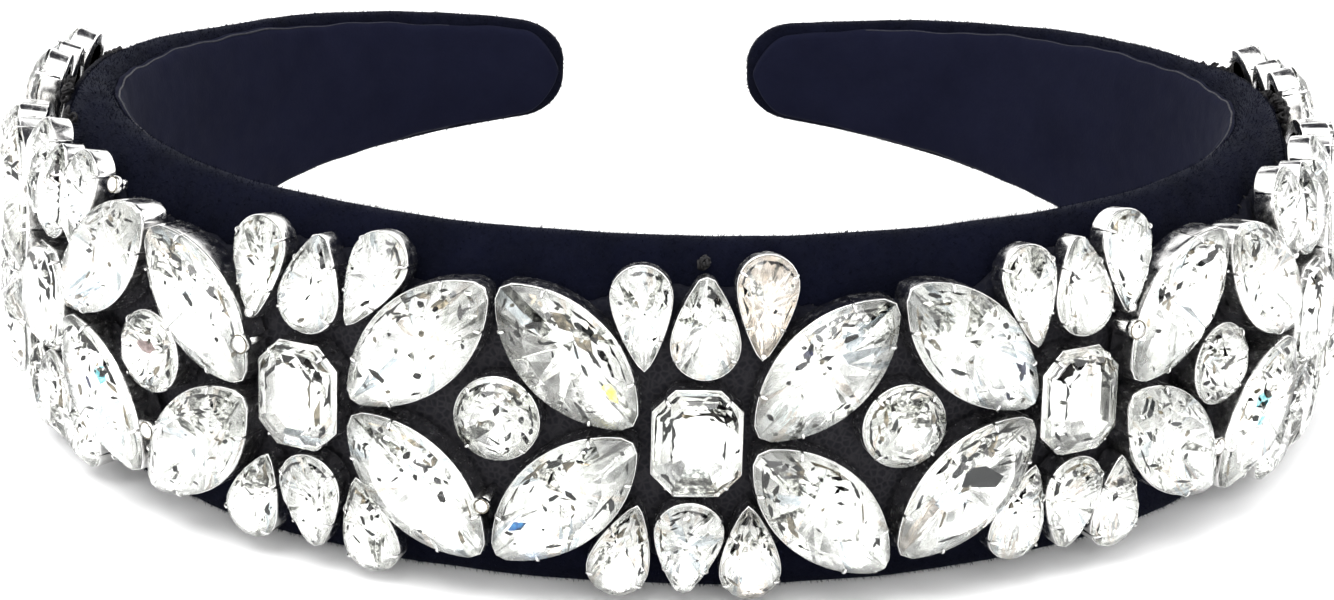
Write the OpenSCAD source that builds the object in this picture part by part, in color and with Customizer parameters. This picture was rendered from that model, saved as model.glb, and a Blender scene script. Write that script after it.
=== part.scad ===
// Rhinestone headband: a padded velvet band with claw-set stones sewn along its outer face.
// It lies on its edge with the crown toward -Y and the two tips behind.
// Lengths are millimetres, angles degrees.

/* [Band] */
// Height of the band over the crown, as it lies on its edge
crown_h = 38; // [37:0.5:42]
// Height of the band at its tips
tip_h = 12; // [10:0.5:15]
// Thickness of the padding over the crown
crown_t = 8.2; // [7:0.2:10]
// Thickness of the padding at the tips
tip_t = 4.8; // [4:0.2:6]
// Arc length from the middle of the crown to where the band starts to narrow
taper_from = 94; // [85:1:110]
// Length over which each tip rounds off
tip_round = 7; // [4:0.5:10]

/* [Facing and backing] */
// Thickness of the cloth facing inside the band
lining_t = 1; // [1:0.1:1.5]
// How far the facing stops short of the band's edges
lining_margin = 2.6; // [2:0.1:4]
// Thickness of the net backing under the stones
backing_t = 1; // [0.8:0.1:1.4]
// Clearance between one layer and the next
layer_gap = 0.2; // [0.2:0.05:0.3]

/* [Pattern] */
// Pitch along the band from one octagon stone to the next
pitch = 39.8; // [39.8:0.2:44]
// Distance of a flower's marquise stones from its middle, along the band
petal_x = 7.3; // [7.3:0.1:7.5]
// Distance of a flower's marquise stones from its middle, up the band
petal_y = 7.25; // [7.2:0.05:7.5]
// Lean of the marquise stones
petal_lean = 46; // [45:1:47]
// Distance of the outer pear stones from their octagon, along the band
flank_x = 6; // [5.9:0.1:6.1]
// Distance of the outer pear stones from their octagon, up the band
flank_y = 12; // [12:0.1:12.4]
// Distance of the middle pear stone from its octagon, up the band
middle_y = 11.4; // [11.4:0.1:12]
// How far the outer pear stones fan out
fan = 4; // [2:1:6]

/* [Settings] */
// Wall of a setting
wall = 0.24; // [0.2:0.02:0.3]
// Floor of a setting
floor_t = 0.5; // [0.4:0.1:0.6]
// Clearance between a stone and its setting
stone_gap = 0.12; // [0.1:0.01:0.14]
// Clearance between a setting and the backing
seat_gap = 0.2; // [0.15:0.05:0.3]
// Width of a claw
claw_w = 1.3; // [1:0.1:1.6]
// How far a claw reaches over its stone
claw_reach = 0.6; // [0.4:0.1:0.8]

/* [Hidden] */
octagon_reach = 3;
flower_reach = 3;
half_pitch = pitch / 2;
mid_z = crown_h / 2;

// Outer face in plan from the middle of the crown to a tip, one row for each arc: length, radius.
ARCS = [[46, 77], [56, 61.5], [60, 77], [45, 52]];
band_l = 207;

// Stones, one row for each cut: length, width, crown, girdle, pavilion, share of the outline that is table.
MARQUISE = [18.9, 9, 1.8, 0.6, 2.5, 0.5];
ROUND = [8.2, 8.2, 1.5, 0.5, 2.4, 0.54];
OCTAGON = [10.9, 8.8, 1.7, 0.7, 2.2, 0.6];
PEAR = [10.1, 5.6, 1.4, 0.5, 1.7, 0.5];
BROAD_PEAR = [10, 6.2, 1.4, 0.5, 1.8, 0.5];
CUT_L = 0;
CUT_W = 1;
CROWN = 2;
GIRDLE = 3;
PAVILION = 4;
TABLE = 5;
octagon_corner = 2.2;
pear_taper = 0.55;

// Hand-sewn places, one row for each group in half pitches from the middle: group, along, up,
// and in a flower how far up its left and right marquise stones sit, and its round stone's along and up.
SHIFTS = [
    [-3, 0.3, 1.2, 0.1, -0.9, 0.8, -0.3],
    [-2, 0, 0.7, 0, 0, 0, 0],
    [-1, 0.1, 1, -0.2, 0, 0.7, 0.5],
    [0, 0, 0, 0, 0, 0, 0],
    [1, -0.4, 0.7, -0.7, 0.5, 0.5, 0.4],
    [2, -0.8, 1.3, 0, 0, 0, 0],
    [3, -0.8, 1.3, 0.3, -0.5, -0.5, -0.3]
];
other_shift = [0, 0, 0.5, 0, 0, 0, 0];
ALONG = 1;
UP = 2;
LEFT_UP = 3;
RIGHT_UP = 4;
MIDDLE_ALONG = 5;
MIDDLE_UP = 6;
// Hand-sewn pear stones, one row each: group, row (-1 low, 1 high), side (-1, 0, 1), along, up, lean.
ASKEW = [
    [-6, 1, -1, 0, -1.1, 0], [-6, 1, 0, 0, -0.1, 0], [-6, 1, 1, 0, -0.3, 0],
    [-6, -1, -1, 0, 0.3, 0], [-6, -1, 1, 0, 0.3, 0],
    [-2, 1, -1, 0.4, -0.3, -5], [-2, 1, 0, 0.8, 0, -7], [-2, 1, 1, 1.1, 0.4, -20],
    [-2, -1, -1, 0.2, 0.1, -18], [-2, -1, 0, 0.9, 0, 3], [-2, -1, 1, 1, -0.6, 6],
    [0, 1, -1, 0.5, 0, 0], [0, 1, 0, 0.6, 0, 0], [0, 1, 1, 0.4, 1.1, 0],
    [0, -1, -1, -0.8, 0.4, -11], [0, -1, 0, -0.6, 0, -4], [0, -1, 1, -0.5, 0.3, 0],
    [2, 1, -1, 0.7, -1, 2], [2, 1, 0, 0.7, 0, 4], [2, 1, 1, 0.5, 0.7, 0],
    [2, -1, -1, 0.6, 0.7, -8], [2, -1, 0, 0.5, 0, -4], [2, -1, 1, 0.5, -0.3, -2],
    [6, 1, -1, 0, -0.3, 0], [6, 1, 0, 0, -0.1, 0], [6, 1, 1, 0, -1.1, 0],
    [6, -1, -1, 0, 0.3, 0], [6, -1, 1, 0, 0.3, 0]
];

// Edge of the backing over half a pitch, one row for each corner: distance from an octagon, height.
BACKING_EDGE = [[0, 17.2], [8, 17], [10.2, 14.2], [13, 13.8], [16.5, 14.6], [19.9, 14.4]];
backing_end = 3 * pitch + 9.6;
backing_step = 3.6;
backing_inset = 0.5;

// Band section: how boxy its outer and inner sides are, its points, and its stations.
outer_power = 2.3;
inner_power = 3.6;
section_points = 16;
band_step = 8;
tip_steps = [0, 0.08, 0.25, 0.55, 1];
tip_blunt = 0.4;
tip_thin = 0.6;
steepest = 0.72;

// Claws of each cut, one row for each: distance along the stone as a share of its length, side.
MARQUISE_CLAWS = [[-0.33, -1], [-0.33, 1], [0.33, -1], [0.33, 1]];
PEAR_CLAWS = [[-0.33, -1], [-0.33, 1], [0.2, -1], [0.2, 1]];
OCTAGON_CLAWS = [[-0.42, -1], [-0.42, 1], [0.42, -1], [0.42, 1]];
ROUND_CLAWS = [[-0.36, -1], [-0.36, 1], [0.36, -1], [0.36, 1]];

FLOWERS = [for (g = [-2 * flower_reach + 1 : 2 : 2 * flower_reach - 1]) g];
OCTAGONS = [for (g = [-2 * octagon_reach : 2 : 2 * octagon_reach]) g];
PETALS = [for (g = FLOWERS, x = [-1, 1], y = [-1, 1]) [g, x, y]];

function number(i) = str(i < 9 ? "0" : "", i + 1);
PETAL_NODES = [for (i = [0 : len(PETALS) - 1]) str("marquise_", number(i))];
ROUND_NODES = [for (i = [0 : len(FLOWERS) - 1]) str("round_", number(i))];
OCTAGON_NODES = [for (i = [0 : len(OCTAGONS) - 1]) str("octagon_", number(i))];

// Plan of the outer face

// Point and heading at arc length s from the crown's middle, on the right-hand side.
function walk(s, i = 0, x = 0, y = 0, a = 0) =
    let (
        last = i == len(ARCS) - 1,
        run = last ? s : min(s, ARCS[i][0]),
        r = ARCS[i][1],
        b = a + run / r * 180 / PI,
        nx = x + r * (sin(b) - sin(a)),
        ny = y + r * (cos(a) - cos(b))
    )
    last || s <= ARCS[i][0] ? [nx, ny, b] : walk(s - ARCS[i][0], i + 1, nx, ny, b);

// The same for either side, mirrored where s is negative.
function plan(s) =
    let (w = walk(abs(s)), side = s < 0 ? -1 : 1)
    [side * w[0], w[1], side * w[2]];

// Point in plan that lies "out" millimetres outside the outer face.
function track(s, out) =
    let (p = plan(s))
    [p[0] + out * sin(p[2]), p[1] - out * cos(p[2])];

// The same at height z, counted from the middle of the whole part front to back.
function beside(s, out, z) =
    let (p = track(s, out))
    [p[0], p[1] - centre_y, z];

// Section of the band

function narrowing(s) = min(max((abs(s) - taper_from) / (band_l - taper_from), 0), 1);
function band_h(s) = crown_h + (tip_h - crown_h) * narrowing(s);
function band_t(s) = crown_t + (tip_t - crown_t) * narrowing(s);

// Share of the full section that is left close to a tip.
function rounding(s, blunt) =
    let (d = min(max((band_l - abs(s)) / tip_round, 0), 1))
    blunt + (1 - blunt) * sqrt(1 - pow(1 - d, 2));

// Padding's fall behind the outer face at share x of its half height, and the slope there.
function bulge(x, t, power) = t / 2 * (1 - pow(1 - pow(x, power), 1 / power));
function slope(x, h, t, power) = t / h * pow(x, power - 1) * pow(1 - pow(x, power), 1 / power - 1);

// How far the outer face has fallen back at height up from the middle, straight past the steepest part.
function fall(up, s) =
    let (h = band_h(s), t = band_t(s), x = abs(up) / (h / 2), y = min(x, steepest))
    bulge(y, t, outer_power) + (x - y) * h / 2 * slope(y, h, t, outer_power);

// Lean of a setting whose middle is at height up.
function lean_back(up, s) =
    let (h = band_h(s), y = min(abs(up) / (h / 2), steepest))
    (up < 0 ? -1 : 1) * atan(slope(y, h, band_t(s), outer_power));

function part_of(v, power) = (v < 0 ? -1 : 1) * pow(abs(v), 2 / power);

// Ring of the band's section at arc length s.
function band_ring(s) =
    let (h = band_h(s) * rounding(s, tip_blunt), t = band_t(s) * rounding(s, tip_thin), full = band_t(s))
    [for (i = [0 : section_points - 1])
        let (
            a = i * 360 / section_points,
            power = cos(a) >= 0 ? outer_power : inner_power,
            out = t / 2 * part_of(cos(a), power) - full / 2,
            up = h / 2 * part_of(sin(a), power)
        )
        beside(s, out, mid_z + up)];

// Stations along the band: close together where a tip rounds off, even between.
run_l = band_l - tip_round;
runs = ceil(run_l / band_step);
STATIONS = concat(
    [for (k = tip_steps) -band_l + tip_round * k],
    [for (i = [1 - runs : runs - 1]) run_l * i / runs],
    [for (i = [len(tip_steps) - 1 : -1 : 0]) band_l - tip_round * tip_steps[i]]
);

// Middle of the part front to back, between the middle octagon's table and the band's rearmost point.
front_y = -layer_gap - backing_t - seat_gap - girdle_z(OCTAGON) - OCTAGON[CROWN];
back_y = max([for (s = STATIONS) track(s, band_t(s) * (rounding(s, tip_thin) - 1) / 2)[1]]);
centre_y = (front_y + back_y) / 2;

// Skin over a row of rings that all have the same even number of points, closed at both ends.
module loft(rings) {
    n = len(rings[0]);
    last = (len(rings) - 1) * n;
    sides = [for (j = [0 : len(rings) - 2], i = [0 : n - 1])
        [j * n + i, (j + 1) * n + i, (j + 1) * n + (i + 1) % n, j * n + (i + 1) % n]];
    first_cap = [for (i = [0 : n / 2 - 2]) [i, i + 1, n - 2 - i, n - 1 - i]];
    last_cap = [for (q = first_cap) [for (i = [3 : -1 : 0]) last + q[i]]];
    quads = concat(sides, first_cap, last_cap);
    faces = [for (q = quads) each [[q[0], q[1], q[2]], [q[0], q[2], q[3]]]];
    polyhedron([for (r = rings) each r], faces, convexity = 8);
}

// Padded band, velvet all round.
module band() {
    color([0.035, 0.035, 0.075]) loft([for (s = STATIONS) band_ring(s)]);
}

// Inner side of the band at height up, as a distance behind the outer face.
function inside(up, s) =
    let (h = band_h(s), t = band_t(s), x = min(abs(up) / (h / 2), steepest))
    t - bulge(x, t, inner_power);

LINING_STATIONS = [for (i = [-runs : runs]) run_l * i / runs];
LINING_ACROSS = [-1, -0.55, 0, 0.55, 1];

// Ring of the facing's section: along its inner side and back along the side against the band.
function lining_ring(s) =
    let (half = band_h(s) / 2 - lining_margin)
    concat(
        [for (k = LINING_ACROSS) beside(s, -inside(k * half, s) - layer_gap, mid_z + k * half)],
        [for (k = [1, 0.55, 0, -0.55, -1])
            beside(s, -inside(k * half, s) - layer_gap - lining_t, mid_z + k * half)]
    );

// Smooth cloth facing sewn inside the band.
module lining() {
    color([0.07, 0.07, 0.13]) loft([for (s = LINING_STATIONS) lining_ring(s)]);
}

// Backing

function edge_at(d, i = 0) =
    let (a = BACKING_EDGE[i], b = BACKING_EDGE[i + 1])
    d <= b[0] || i == len(BACKING_EDGE) - 2
        ? a[1] + (b[1] - a[1]) * min(max((d - a[0]) / (b[0] - a[0]), 0), 1)
        : edge_at(d, i + 1);

// Height of the backing's edge over the middle, following the stones.
function backing_half(s) =
    let (d = abs(s) - pitch * round(abs(s) / pitch), last = BACKING_EDGE[len(BACKING_EDGE) - 1])
    min(edge_at(abs(d) * last[0] / half_pitch), band_h(s) / 2 - backing_inset);

backing_runs = ceil(backing_end / backing_step);
BACKING_STATIONS = [for (i = [-backing_runs : backing_runs]) backing_end * i / backing_runs];
BACKING_ACROSS = [-1, -0.8, -0.6, -0.35, 0, 0.35, 0.6, 0.8, 1];

function backing_ring(s) =
    let (half = backing_half(s), last = len(BACKING_ACROSS) - 1)
    concat(
        [for (k = BACKING_ACROSS) beside(s, layer_gap + backing_t - fall(k * half, s), mid_z + k * half)],
        [for (i = [last : -1 : 0])
            let (k = BACKING_ACROSS[i])
            beside(s, layer_gap - fall(k * half, s), mid_z + k * half)]
    );

// Black net that the settings are sewn to, cut round the stones.
module backing() {
    color([0.02, 0.02, 0.025]) loft([for (s = BACKING_STATIONS) backing_ring(s)]);
}

// Outlines of the stones, counter-clockwise from the front, with the length up

function marquise_outline(l, w) =
    let (r = (l * l / 4 + w * w / 4) / w, a = asin(l / 2 / r))
    concat(
        [for (i = [-3 : 3]) [r * cos(a * i / 3) - r + w / 2, r * sin(a * i / 3)]],
        [for (i = [2 : -1 : -2]) [r - w / 2 - r * cos(a * i / 3), r * sin(a * i / 3)]]
    );

function round_outline(l, w) = [for (i = [0 : 11]) [w / 2 * cos(30 * i), l / 2 * sin(30 * i)]];

function octagon_outline(l, w) =
    let (c = octagon_corner, x = w / 2, y = l / 2)
    [[x, c - y], [x, y - c], [x - c, y], [c - x, y], [-x, y - c], [-x, c - y], [c - x, -y], [x - c, -y]];

// Round end down, point up.
function pear_outline(l, w) =
    let (
        r = w / 2,
        rise = l - r,
        side = [for (a = [30, 60]) [r * cos(a), pear_taper * (1 - cos(a)) + (1 - pear_taper) * sin(a)]]
    )
    concat(
        [for (i = [0 : 6]) [r * cos(180 + 30 * i), r - l / 2 + r * sin(180 + 30 * i)]],
        [for (p = side) [p[0], r - l / 2 + rise * p[1]]],
        [[0, l / 2]],
        [for (i = [1, 0]) [-side[i][0], r - l / 2 + rise * side[i][1]]]
    );

function outline(cut) =
    let (l = cut[CUT_L], w = cut[CUT_W])
    cut == MARQUISE ? marquise_outline(l, w)
    : cut == ROUND ? round_outline(l, w)
    : cut == OCTAGON ? octagon_outline(l, w)
    : pear_outline(l, w);

// Outline with each edge moved out by d.
function edge_normal(a, b) = [b[1] - a[1], a[0] - b[0]] / norm(b - a);
function grown(rim, d) =
    let (n = len(rim))
    [for (i = [0 : n - 1])
        let (
            before = edge_normal(rim[(i + n - 1) % n], rim[i]),
            after = edge_normal(rim[i], rim[(i + 1) % n])
        )
        rim[i] + (before + after) * d / (1 + before * after)];

// Places of the stones: cut, arc length, height over the middle, lean

function shift(g) =
    let (hit = [for (row = SHIFTS) if (row[0] == g) row])
    len(hit) > 0 ? hit[0] : other_shift;

function askew(g, row, side) =
    let (hit = [for (r = ASKEW) if (r[0] == g && r[1] == row && r[2] == side) r])
    len(hit) > 0 ? [hit[0][3], hit[0][4], hit[0][5]] : [0, 0, 0];

function group_along(g) = g * half_pitch + shift(g)[ALONG];

function middle_place(cut, g) =
    let (row = shift(g))
    [cut, group_along(g) + row[MIDDLE_ALONG], row[UP] + row[MIDDLE_UP], 0];

function petal_place(p) =
    let (row = shift(p[0]), up = row[UP] + row[p[1] < 0 ? LEFT_UP : RIGHT_UP])
    [MARQUISE, group_along(p[0]) + p[1] * petal_x, up + p[2] * petal_y, p[1] * p[2] * petal_lean];

function pear_place(g, row, side) =
    let (
        m = middle_place(PEAR, g),
        a = askew(g, row, side),
        flank_lean = row > 0 ? 180 - side * fan : side * fan,
        middle_lean = row > 0 ? 0 : 180
    )
    side == 0
        ? [BROAD_PEAR, m[1] + a[0], m[2] + row * middle_y + a[1], middle_lean + a[2]]
        : [PEAR, m[1] + side * flank_x + a[0], m[2] + row * flank_y + a[1], flank_lean + a[2]];

function pear_places(row) = [for (g = OCTAGONS, side = [-1 : 1]) pear_place(g, row, side)];

// Frame of a setting: length up the band, width along it, Z out of it, with the floor's underside at zero.
function turn_z(a) = [[cos(a), -sin(a), 0, 0], [sin(a), cos(a), 0, 0], [0, 0, 1, 0], [0, 0, 0, 1]];
function turn_x(a) = [[1, 0, 0, 0], [0, cos(a), -sin(a), 0], [0, sin(a), cos(a), 0], [0, 0, 0, 1]];
function move(v) = [[1, 0, 0, v[0]], [0, 1, 0, v[1]], [0, 0, 1, v[2]], [0, 0, 0, 1]];

function seat(place) =
    let (
        s = place[1],
        up = place[2],
        foot = beside(s, -fall(up, s), mid_z + up),
        out = layer_gap + backing_t + seat_gap
    )
    move(foot) * turn_z(plan(s)[2]) * turn_x(90 - lean_back(up, s)) * move([0, 0, out]) * turn_z(place[3]);

function girdle_z(cut) = floor_t + stone_gap + cut[PAVILION] + cut[GIRDLE];

// Points of one stone in the band's frame: table, upper girdle, lower girdle, point.
function stone_points(place) =
    let (
        cut = place[0],
        top = girdle_z(cut),
        m = seat(place),
        rim = outline(cut),
        local = concat(
            [for (p = rim) [p[0] * cut[TABLE], p[1] * cut[TABLE], top + cut[CROWN]]],
            [for (p = rim) [p[0], p[1], top]],
            [for (p = rim) [p[0], p[1], top - cut[GIRDLE]]],
            [[0, 0, floor_t + stone_gap]]
        )
    )
    [for (p = local) let (q = m * [p[0], p[1], p[2], 1]) [q[0], q[1], q[2]]];

function stone_faces(n, base) = concat(
    [[for (i = [n - 1 : -1 : 0]) base + i]],
    [for (k = [0, 1], i = [0 : n - 1])
        let (j = (i + 1) % n, a = base + k * n, b = a + n)
        each [[a + i, a + j, b + j], [a + i, b + j, b + i]]],
    [for (i = [0 : n - 1]) [base + 2 * n + i, base + 2 * n + (i + 1) % n, base + 3 * n]]
);

function start_of(places, i) =
    i == 0 ? 0 : start_of(places, i - 1) + 3 * len(outline(places[i - 1][0])) + 1;

// Cut stones, one for each place.
module stones(places) {
    polyhedron(
        [for (p = places) each stone_points(p)],
        [for (i = [0 : len(places) - 1]) each stone_faces(len(outline(places[i][0])), start_of(places, i))],
        convexity = 8
    );
}

module crystals(places) {
    color([0.93, 0.95, 0.97]) stones(places);
}

// Claw on the edge of a setting, bent over the stone: X points out of the stone, Z up.
// "reach" is the distance of the stone's edge there from its middle.
module claw(cut, reach) {
    rim = girdle_z(cut);
    rise = cut[CROWN] / (reach * (1 - cut[TABLE])) * claw_reach;
    over = 0.26;
    thick = 0.5;
    outer = stone_gap + wall + 0.12;
    rotate([90, 0, 0])
        linear_extrude(height = claw_w, center = true)
            polygon([
                [stone_gap, 0], [outer, 0], [outer, rim + over], [0, rim + rise + over + thick],
                [-claw_reach, rim + rise + over + thick], [-claw_reach, rim + rise + over],
                [stone_gap, rim + over]
            ]);
}

// Point on a stone's outline at height y on one side, and the direction out of the stone there.
function rim_hit(rim, y, side) =
    let (
        n = len(rim),
        hits = [for (i = [0 : n - 1])
            let (a = rim[i], b = rim[(i + 1) % n])
            if ((a[1] <= y) != (b[1] <= y))
                let (k = (y - a[1]) / (b[1] - a[1]), x = a[0] + k * (b[0] - a[0]))
                if (x * side > 0) [x, y, atan2(a[0] - b[0], b[1] - a[1])]]
    )
    hits[0];

// One setting: a cup that follows the stone, with its claws.
module setting(cut, claws) {
    rim = outline(cut);
    rim_low = girdle_z(cut) - cut[GIRDLE];
    difference() {
        linear_extrude(height = rim_low) polygon(grown(rim, stone_gap + wall));
        translate([0, 0, floor_t]) linear_extrude(height = rim_low) polygon(grown(rim, stone_gap));
    }
    for (c = claws) {
        hit = rim_hit(rim, c[0] * cut[CUT_L], c[1]);
        reach = hit[0] * cos(hit[2]) + hit[1] * sin(hit[2]);
        translate([hit[0], hit[1], 0]) rotate([0, 0, hit[2]]) claw(cut, reach);
    }
}

module settings(places, claws) {
    color([0.78, 0.78, 0.8])
        for (p = places) multmatrix(seat(p)) setting(p[0], claws);
}

petal_places = [for (p = PETALS) petal_place(p)];
round_places = [for (g = FLOWERS) middle_place(ROUND, g)];
octagon_places = [for (g = OCTAGONS) middle_place(OCTAGON, g)];

band();
lining();
backing();
crystals(pear_places(1));  // pears_high
crystals(pear_places(-1));  // pears_low
settings(petal_places, MARQUISE_CLAWS);  // marquise_settings
settings(round_places, ROUND_CLAWS);  // round_settings
settings(octagon_places, OCTAGON_CLAWS);  // octagon_settings
settings(pear_places(1), PEAR_CLAWS);  // pear_settings_high
settings(pear_places(-1), PEAR_CLAWS);  // pear_settings_low
for (i = [0 : len(PETALS) - 1])
    crystals([petal_places[i]]);
for (i = [0 : len(FLOWERS) - 1])
    crystals([round_places[i]]);
for (i = [0 : len(OCTAGONS) - 1])
    crystals([octagon_places[i]]);
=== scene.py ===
"""Looks of the rhinestone headband: velvet with its pile, facing, net, thread, settings and cut stones.

Lengths are millimetres except where a line says metres, and mesh_piece() turns them into metres. Angles are
degrees in tables and radians in formulas. A place on the band is its arc length s along the outer face,
positive toward +X from the crown's middle, its height up over the band's middle, and how far out it is.
A stone's own frame has its width along X, its length along Y and its table toward +Z, as in the CAD.
"""

from math import acos, atan, atan2, cos, hypot, pi, radians, sin, sqrt

import bpy
import numpy as np
from mathutils import Matrix, Vector


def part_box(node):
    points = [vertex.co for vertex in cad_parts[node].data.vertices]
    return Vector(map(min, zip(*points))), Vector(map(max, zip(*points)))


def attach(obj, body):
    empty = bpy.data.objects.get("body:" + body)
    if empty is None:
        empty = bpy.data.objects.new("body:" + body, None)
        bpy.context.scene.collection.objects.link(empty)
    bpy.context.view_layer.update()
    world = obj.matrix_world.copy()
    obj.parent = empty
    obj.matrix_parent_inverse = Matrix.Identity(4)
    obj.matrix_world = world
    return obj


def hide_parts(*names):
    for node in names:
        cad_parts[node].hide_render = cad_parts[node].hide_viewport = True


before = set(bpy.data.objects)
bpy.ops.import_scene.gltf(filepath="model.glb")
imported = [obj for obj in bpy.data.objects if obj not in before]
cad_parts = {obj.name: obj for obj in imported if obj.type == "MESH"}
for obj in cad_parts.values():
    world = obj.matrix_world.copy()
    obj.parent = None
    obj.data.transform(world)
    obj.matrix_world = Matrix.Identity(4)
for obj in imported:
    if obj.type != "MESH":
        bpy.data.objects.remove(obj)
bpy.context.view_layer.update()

MM = 0.001

# The band's plan and section, as in the CAD

# Length and radius of each arc of the outer face, from the crown's middle to a tip.
ARCS = [(46, 77), (56, 61.5), (60, 77), (45, 52)]
BAND_L, TAPER_FROM, TIP_ROUND = 207.0, 94.0, 7.0
CROWN_H, TIP_H, CROWN_T, TIP_T = 38.0, 12.0, 8.2, 4.8
MID_Z = CROWN_H / 2
OUTER_POWER, INNER_POWER, STEEPEST = 2.3, 3.6, 0.72
TIP_H_POWER, TIP_T_POWER = 2.5, 3.0  # how roundly height and thickness close at a tip
BRINK = 0.985  # furthest share of half the height at which a face's fall is worked out
LAYER_GAP, BACKING_T, SEAT_GAP = 0.2, 1.0, 0.2
CENTRE_Y = -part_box("band")[0].y / MM
PITCH, HALF_PITCH = 39.8, 19.9  # from octagon to octagon, and from octagon to flower
# Distance along the band from an octagon's middle, height of the net's edge there.
NET_EDGE = [(0, 14.8), (7.6, 14.2), (9.6, 12.6), (13, 11.8), (16.5, 12.4), (19.9, 12.1)]
BACKING_END = 3 * PITCH + 9.6
NET_FROM_EDGE = 0.9
FACING_MARGINS = [(110, 1.7), (150, 1.1)]  # arc length, how far the facing stays from the band's edge there


def plan(s):
    """Point and heading of the outer face at arc length s."""
    x = y = a = 0.0
    left = abs(s)
    for length, radius in ARCS:
        run = left if (length, radius) == ARCS[-1] else min(left, length)
        b = a + run / radius
        x += radius * (sin(b) - sin(a))
        y += radius * (cos(a) - cos(b))
        a, left = b, left - run
        if left <= 0:
            break
    side = -1 if s < 0 else 1
    return side * x, y, side * a


def beside(s, out, z):
    """Points at arc length s, out outside the outer face and at height z; out and z may be arrays."""
    x, y, a = plan(s)
    out, z = np.broadcast_arrays(np.asarray(out, float), np.asarray(z, float))
    return np.stack([x + out * sin(a), y - out * cos(a) - CENTRE_Y, z], -1)


def narrowing(s):
    return min(max((abs(s) - TAPER_FROM) / (BAND_L - TAPER_FROM), 0), 1)


def band_h(s):
    return CROWN_H + (TIP_H - CROWN_H) * narrowing(s)


def band_t(s):
    return CROWN_T + (TIP_T - CROWN_T) * narrowing(s)


def bulge(x, t, power):
    return t / 2 * (1 - (1 - np.abs(x) ** power) ** (1 / power))


def slope(x, h, t, power):
    return t / h * x ** (power - 1) * (1 - x**power) ** (1 / power - 1)


def fall(up, s):
    """How far the outer face lies behind its middle at height up."""
    h, t = band_h(s), band_t(s)
    x = np.abs(up) / (h / 2)
    y = np.minimum(x, STEEPEST)
    return bulge(y, t, OUTER_POWER) + (x - y) * h / 2 * slope(y, h, t, OUTER_POWER)


def lean_back(up, s):
    h = band_h(s)
    y = min(abs(up) / (h / 2), STEEPEST)
    return (-1 if up < 0 else 1) * atan(slope(y, h, band_t(s), OUTER_POWER))


def fall_true(up, s):
    """The padding's own fall, also past its steepest part."""
    return bulge(np.minimum(np.abs(up) / (band_h(s) / 2), BRINK), band_t(s), OUTER_POWER)


def inside_true(up, s):
    """The inner face's own place behind the outer one, rounding off at a tip as the velvet does."""
    d = (BAND_L - abs(s)) / TIP_ROUND
    t = band_t(s)
    x = np.minimum(np.abs(up) / (band_h(s) / 2 * nose(d, TIP_H_POWER)), BRINK)
    return t / 2 + t / 2 * nose(d, TIP_T_POWER) * (1 - x**INNER_POWER) ** (1 / INNER_POWER)


def nose(d, power):
    """Share of the full section at a tip, where d goes from 0 at its end to 1 where it stops rounding."""
    return (1 - (1 - min(max(d, 0), 1)) ** power) ** (1 / power)


def backing_half(s):
    """Height of the net's edge over the middle, following the stones."""
    d = abs(abs(s) - PITCH * round(abs(s) / PITCH))
    return min(np.interp(d, *zip(*NET_EDGE)), band_h(s) / 2 - NET_FROM_EDGE)


def facing_margin(s):
    return float(np.interp(abs(s), *zip(*FACING_MARGINS)))


# The stones' places, as in the CAD

MARQUISE, ROUND, OCTAGON, PEAR, BROAD_PEAR = "marquise", "round", "octagon", "pear", "broad_pear"
CUTS = {  # length, width, heights of crown, girdle and pavilion
    MARQUISE: (18.9, 9, 1.8, 0.6, 2.5),
    ROUND: (8.2, 8.2, 1.5, 0.5, 2.4),
    OCTAGON: (10.9, 8.8, 1.7, 0.7, 2.2),
    PEAR: (10.1, 5.6, 1.4, 0.5, 1.7),
    BROAD_PEAR: (10, 6.2, 1.4, 0.5, 1.8),
}
OCTAGON_CORNER, PEAR_TAPER = 2.2, 0.55
# Radius of a stone's tip, which the CAD leaves sharp.
MARQUISE_TIP, PEAR_TIPS = 1.2, {PEAR: 0.25, BROAD_PEAR: 0.75}
PETAL_X, PETAL_Y, PETAL_LEAN = 7.3, 7.25, 46
FLANK_X, FLANK_Y, MIDDLE_Y, FAN = 6, 12, 11.4, 4
FLOOR_T, STONE_GAP = 0.5, 0.12
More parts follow.
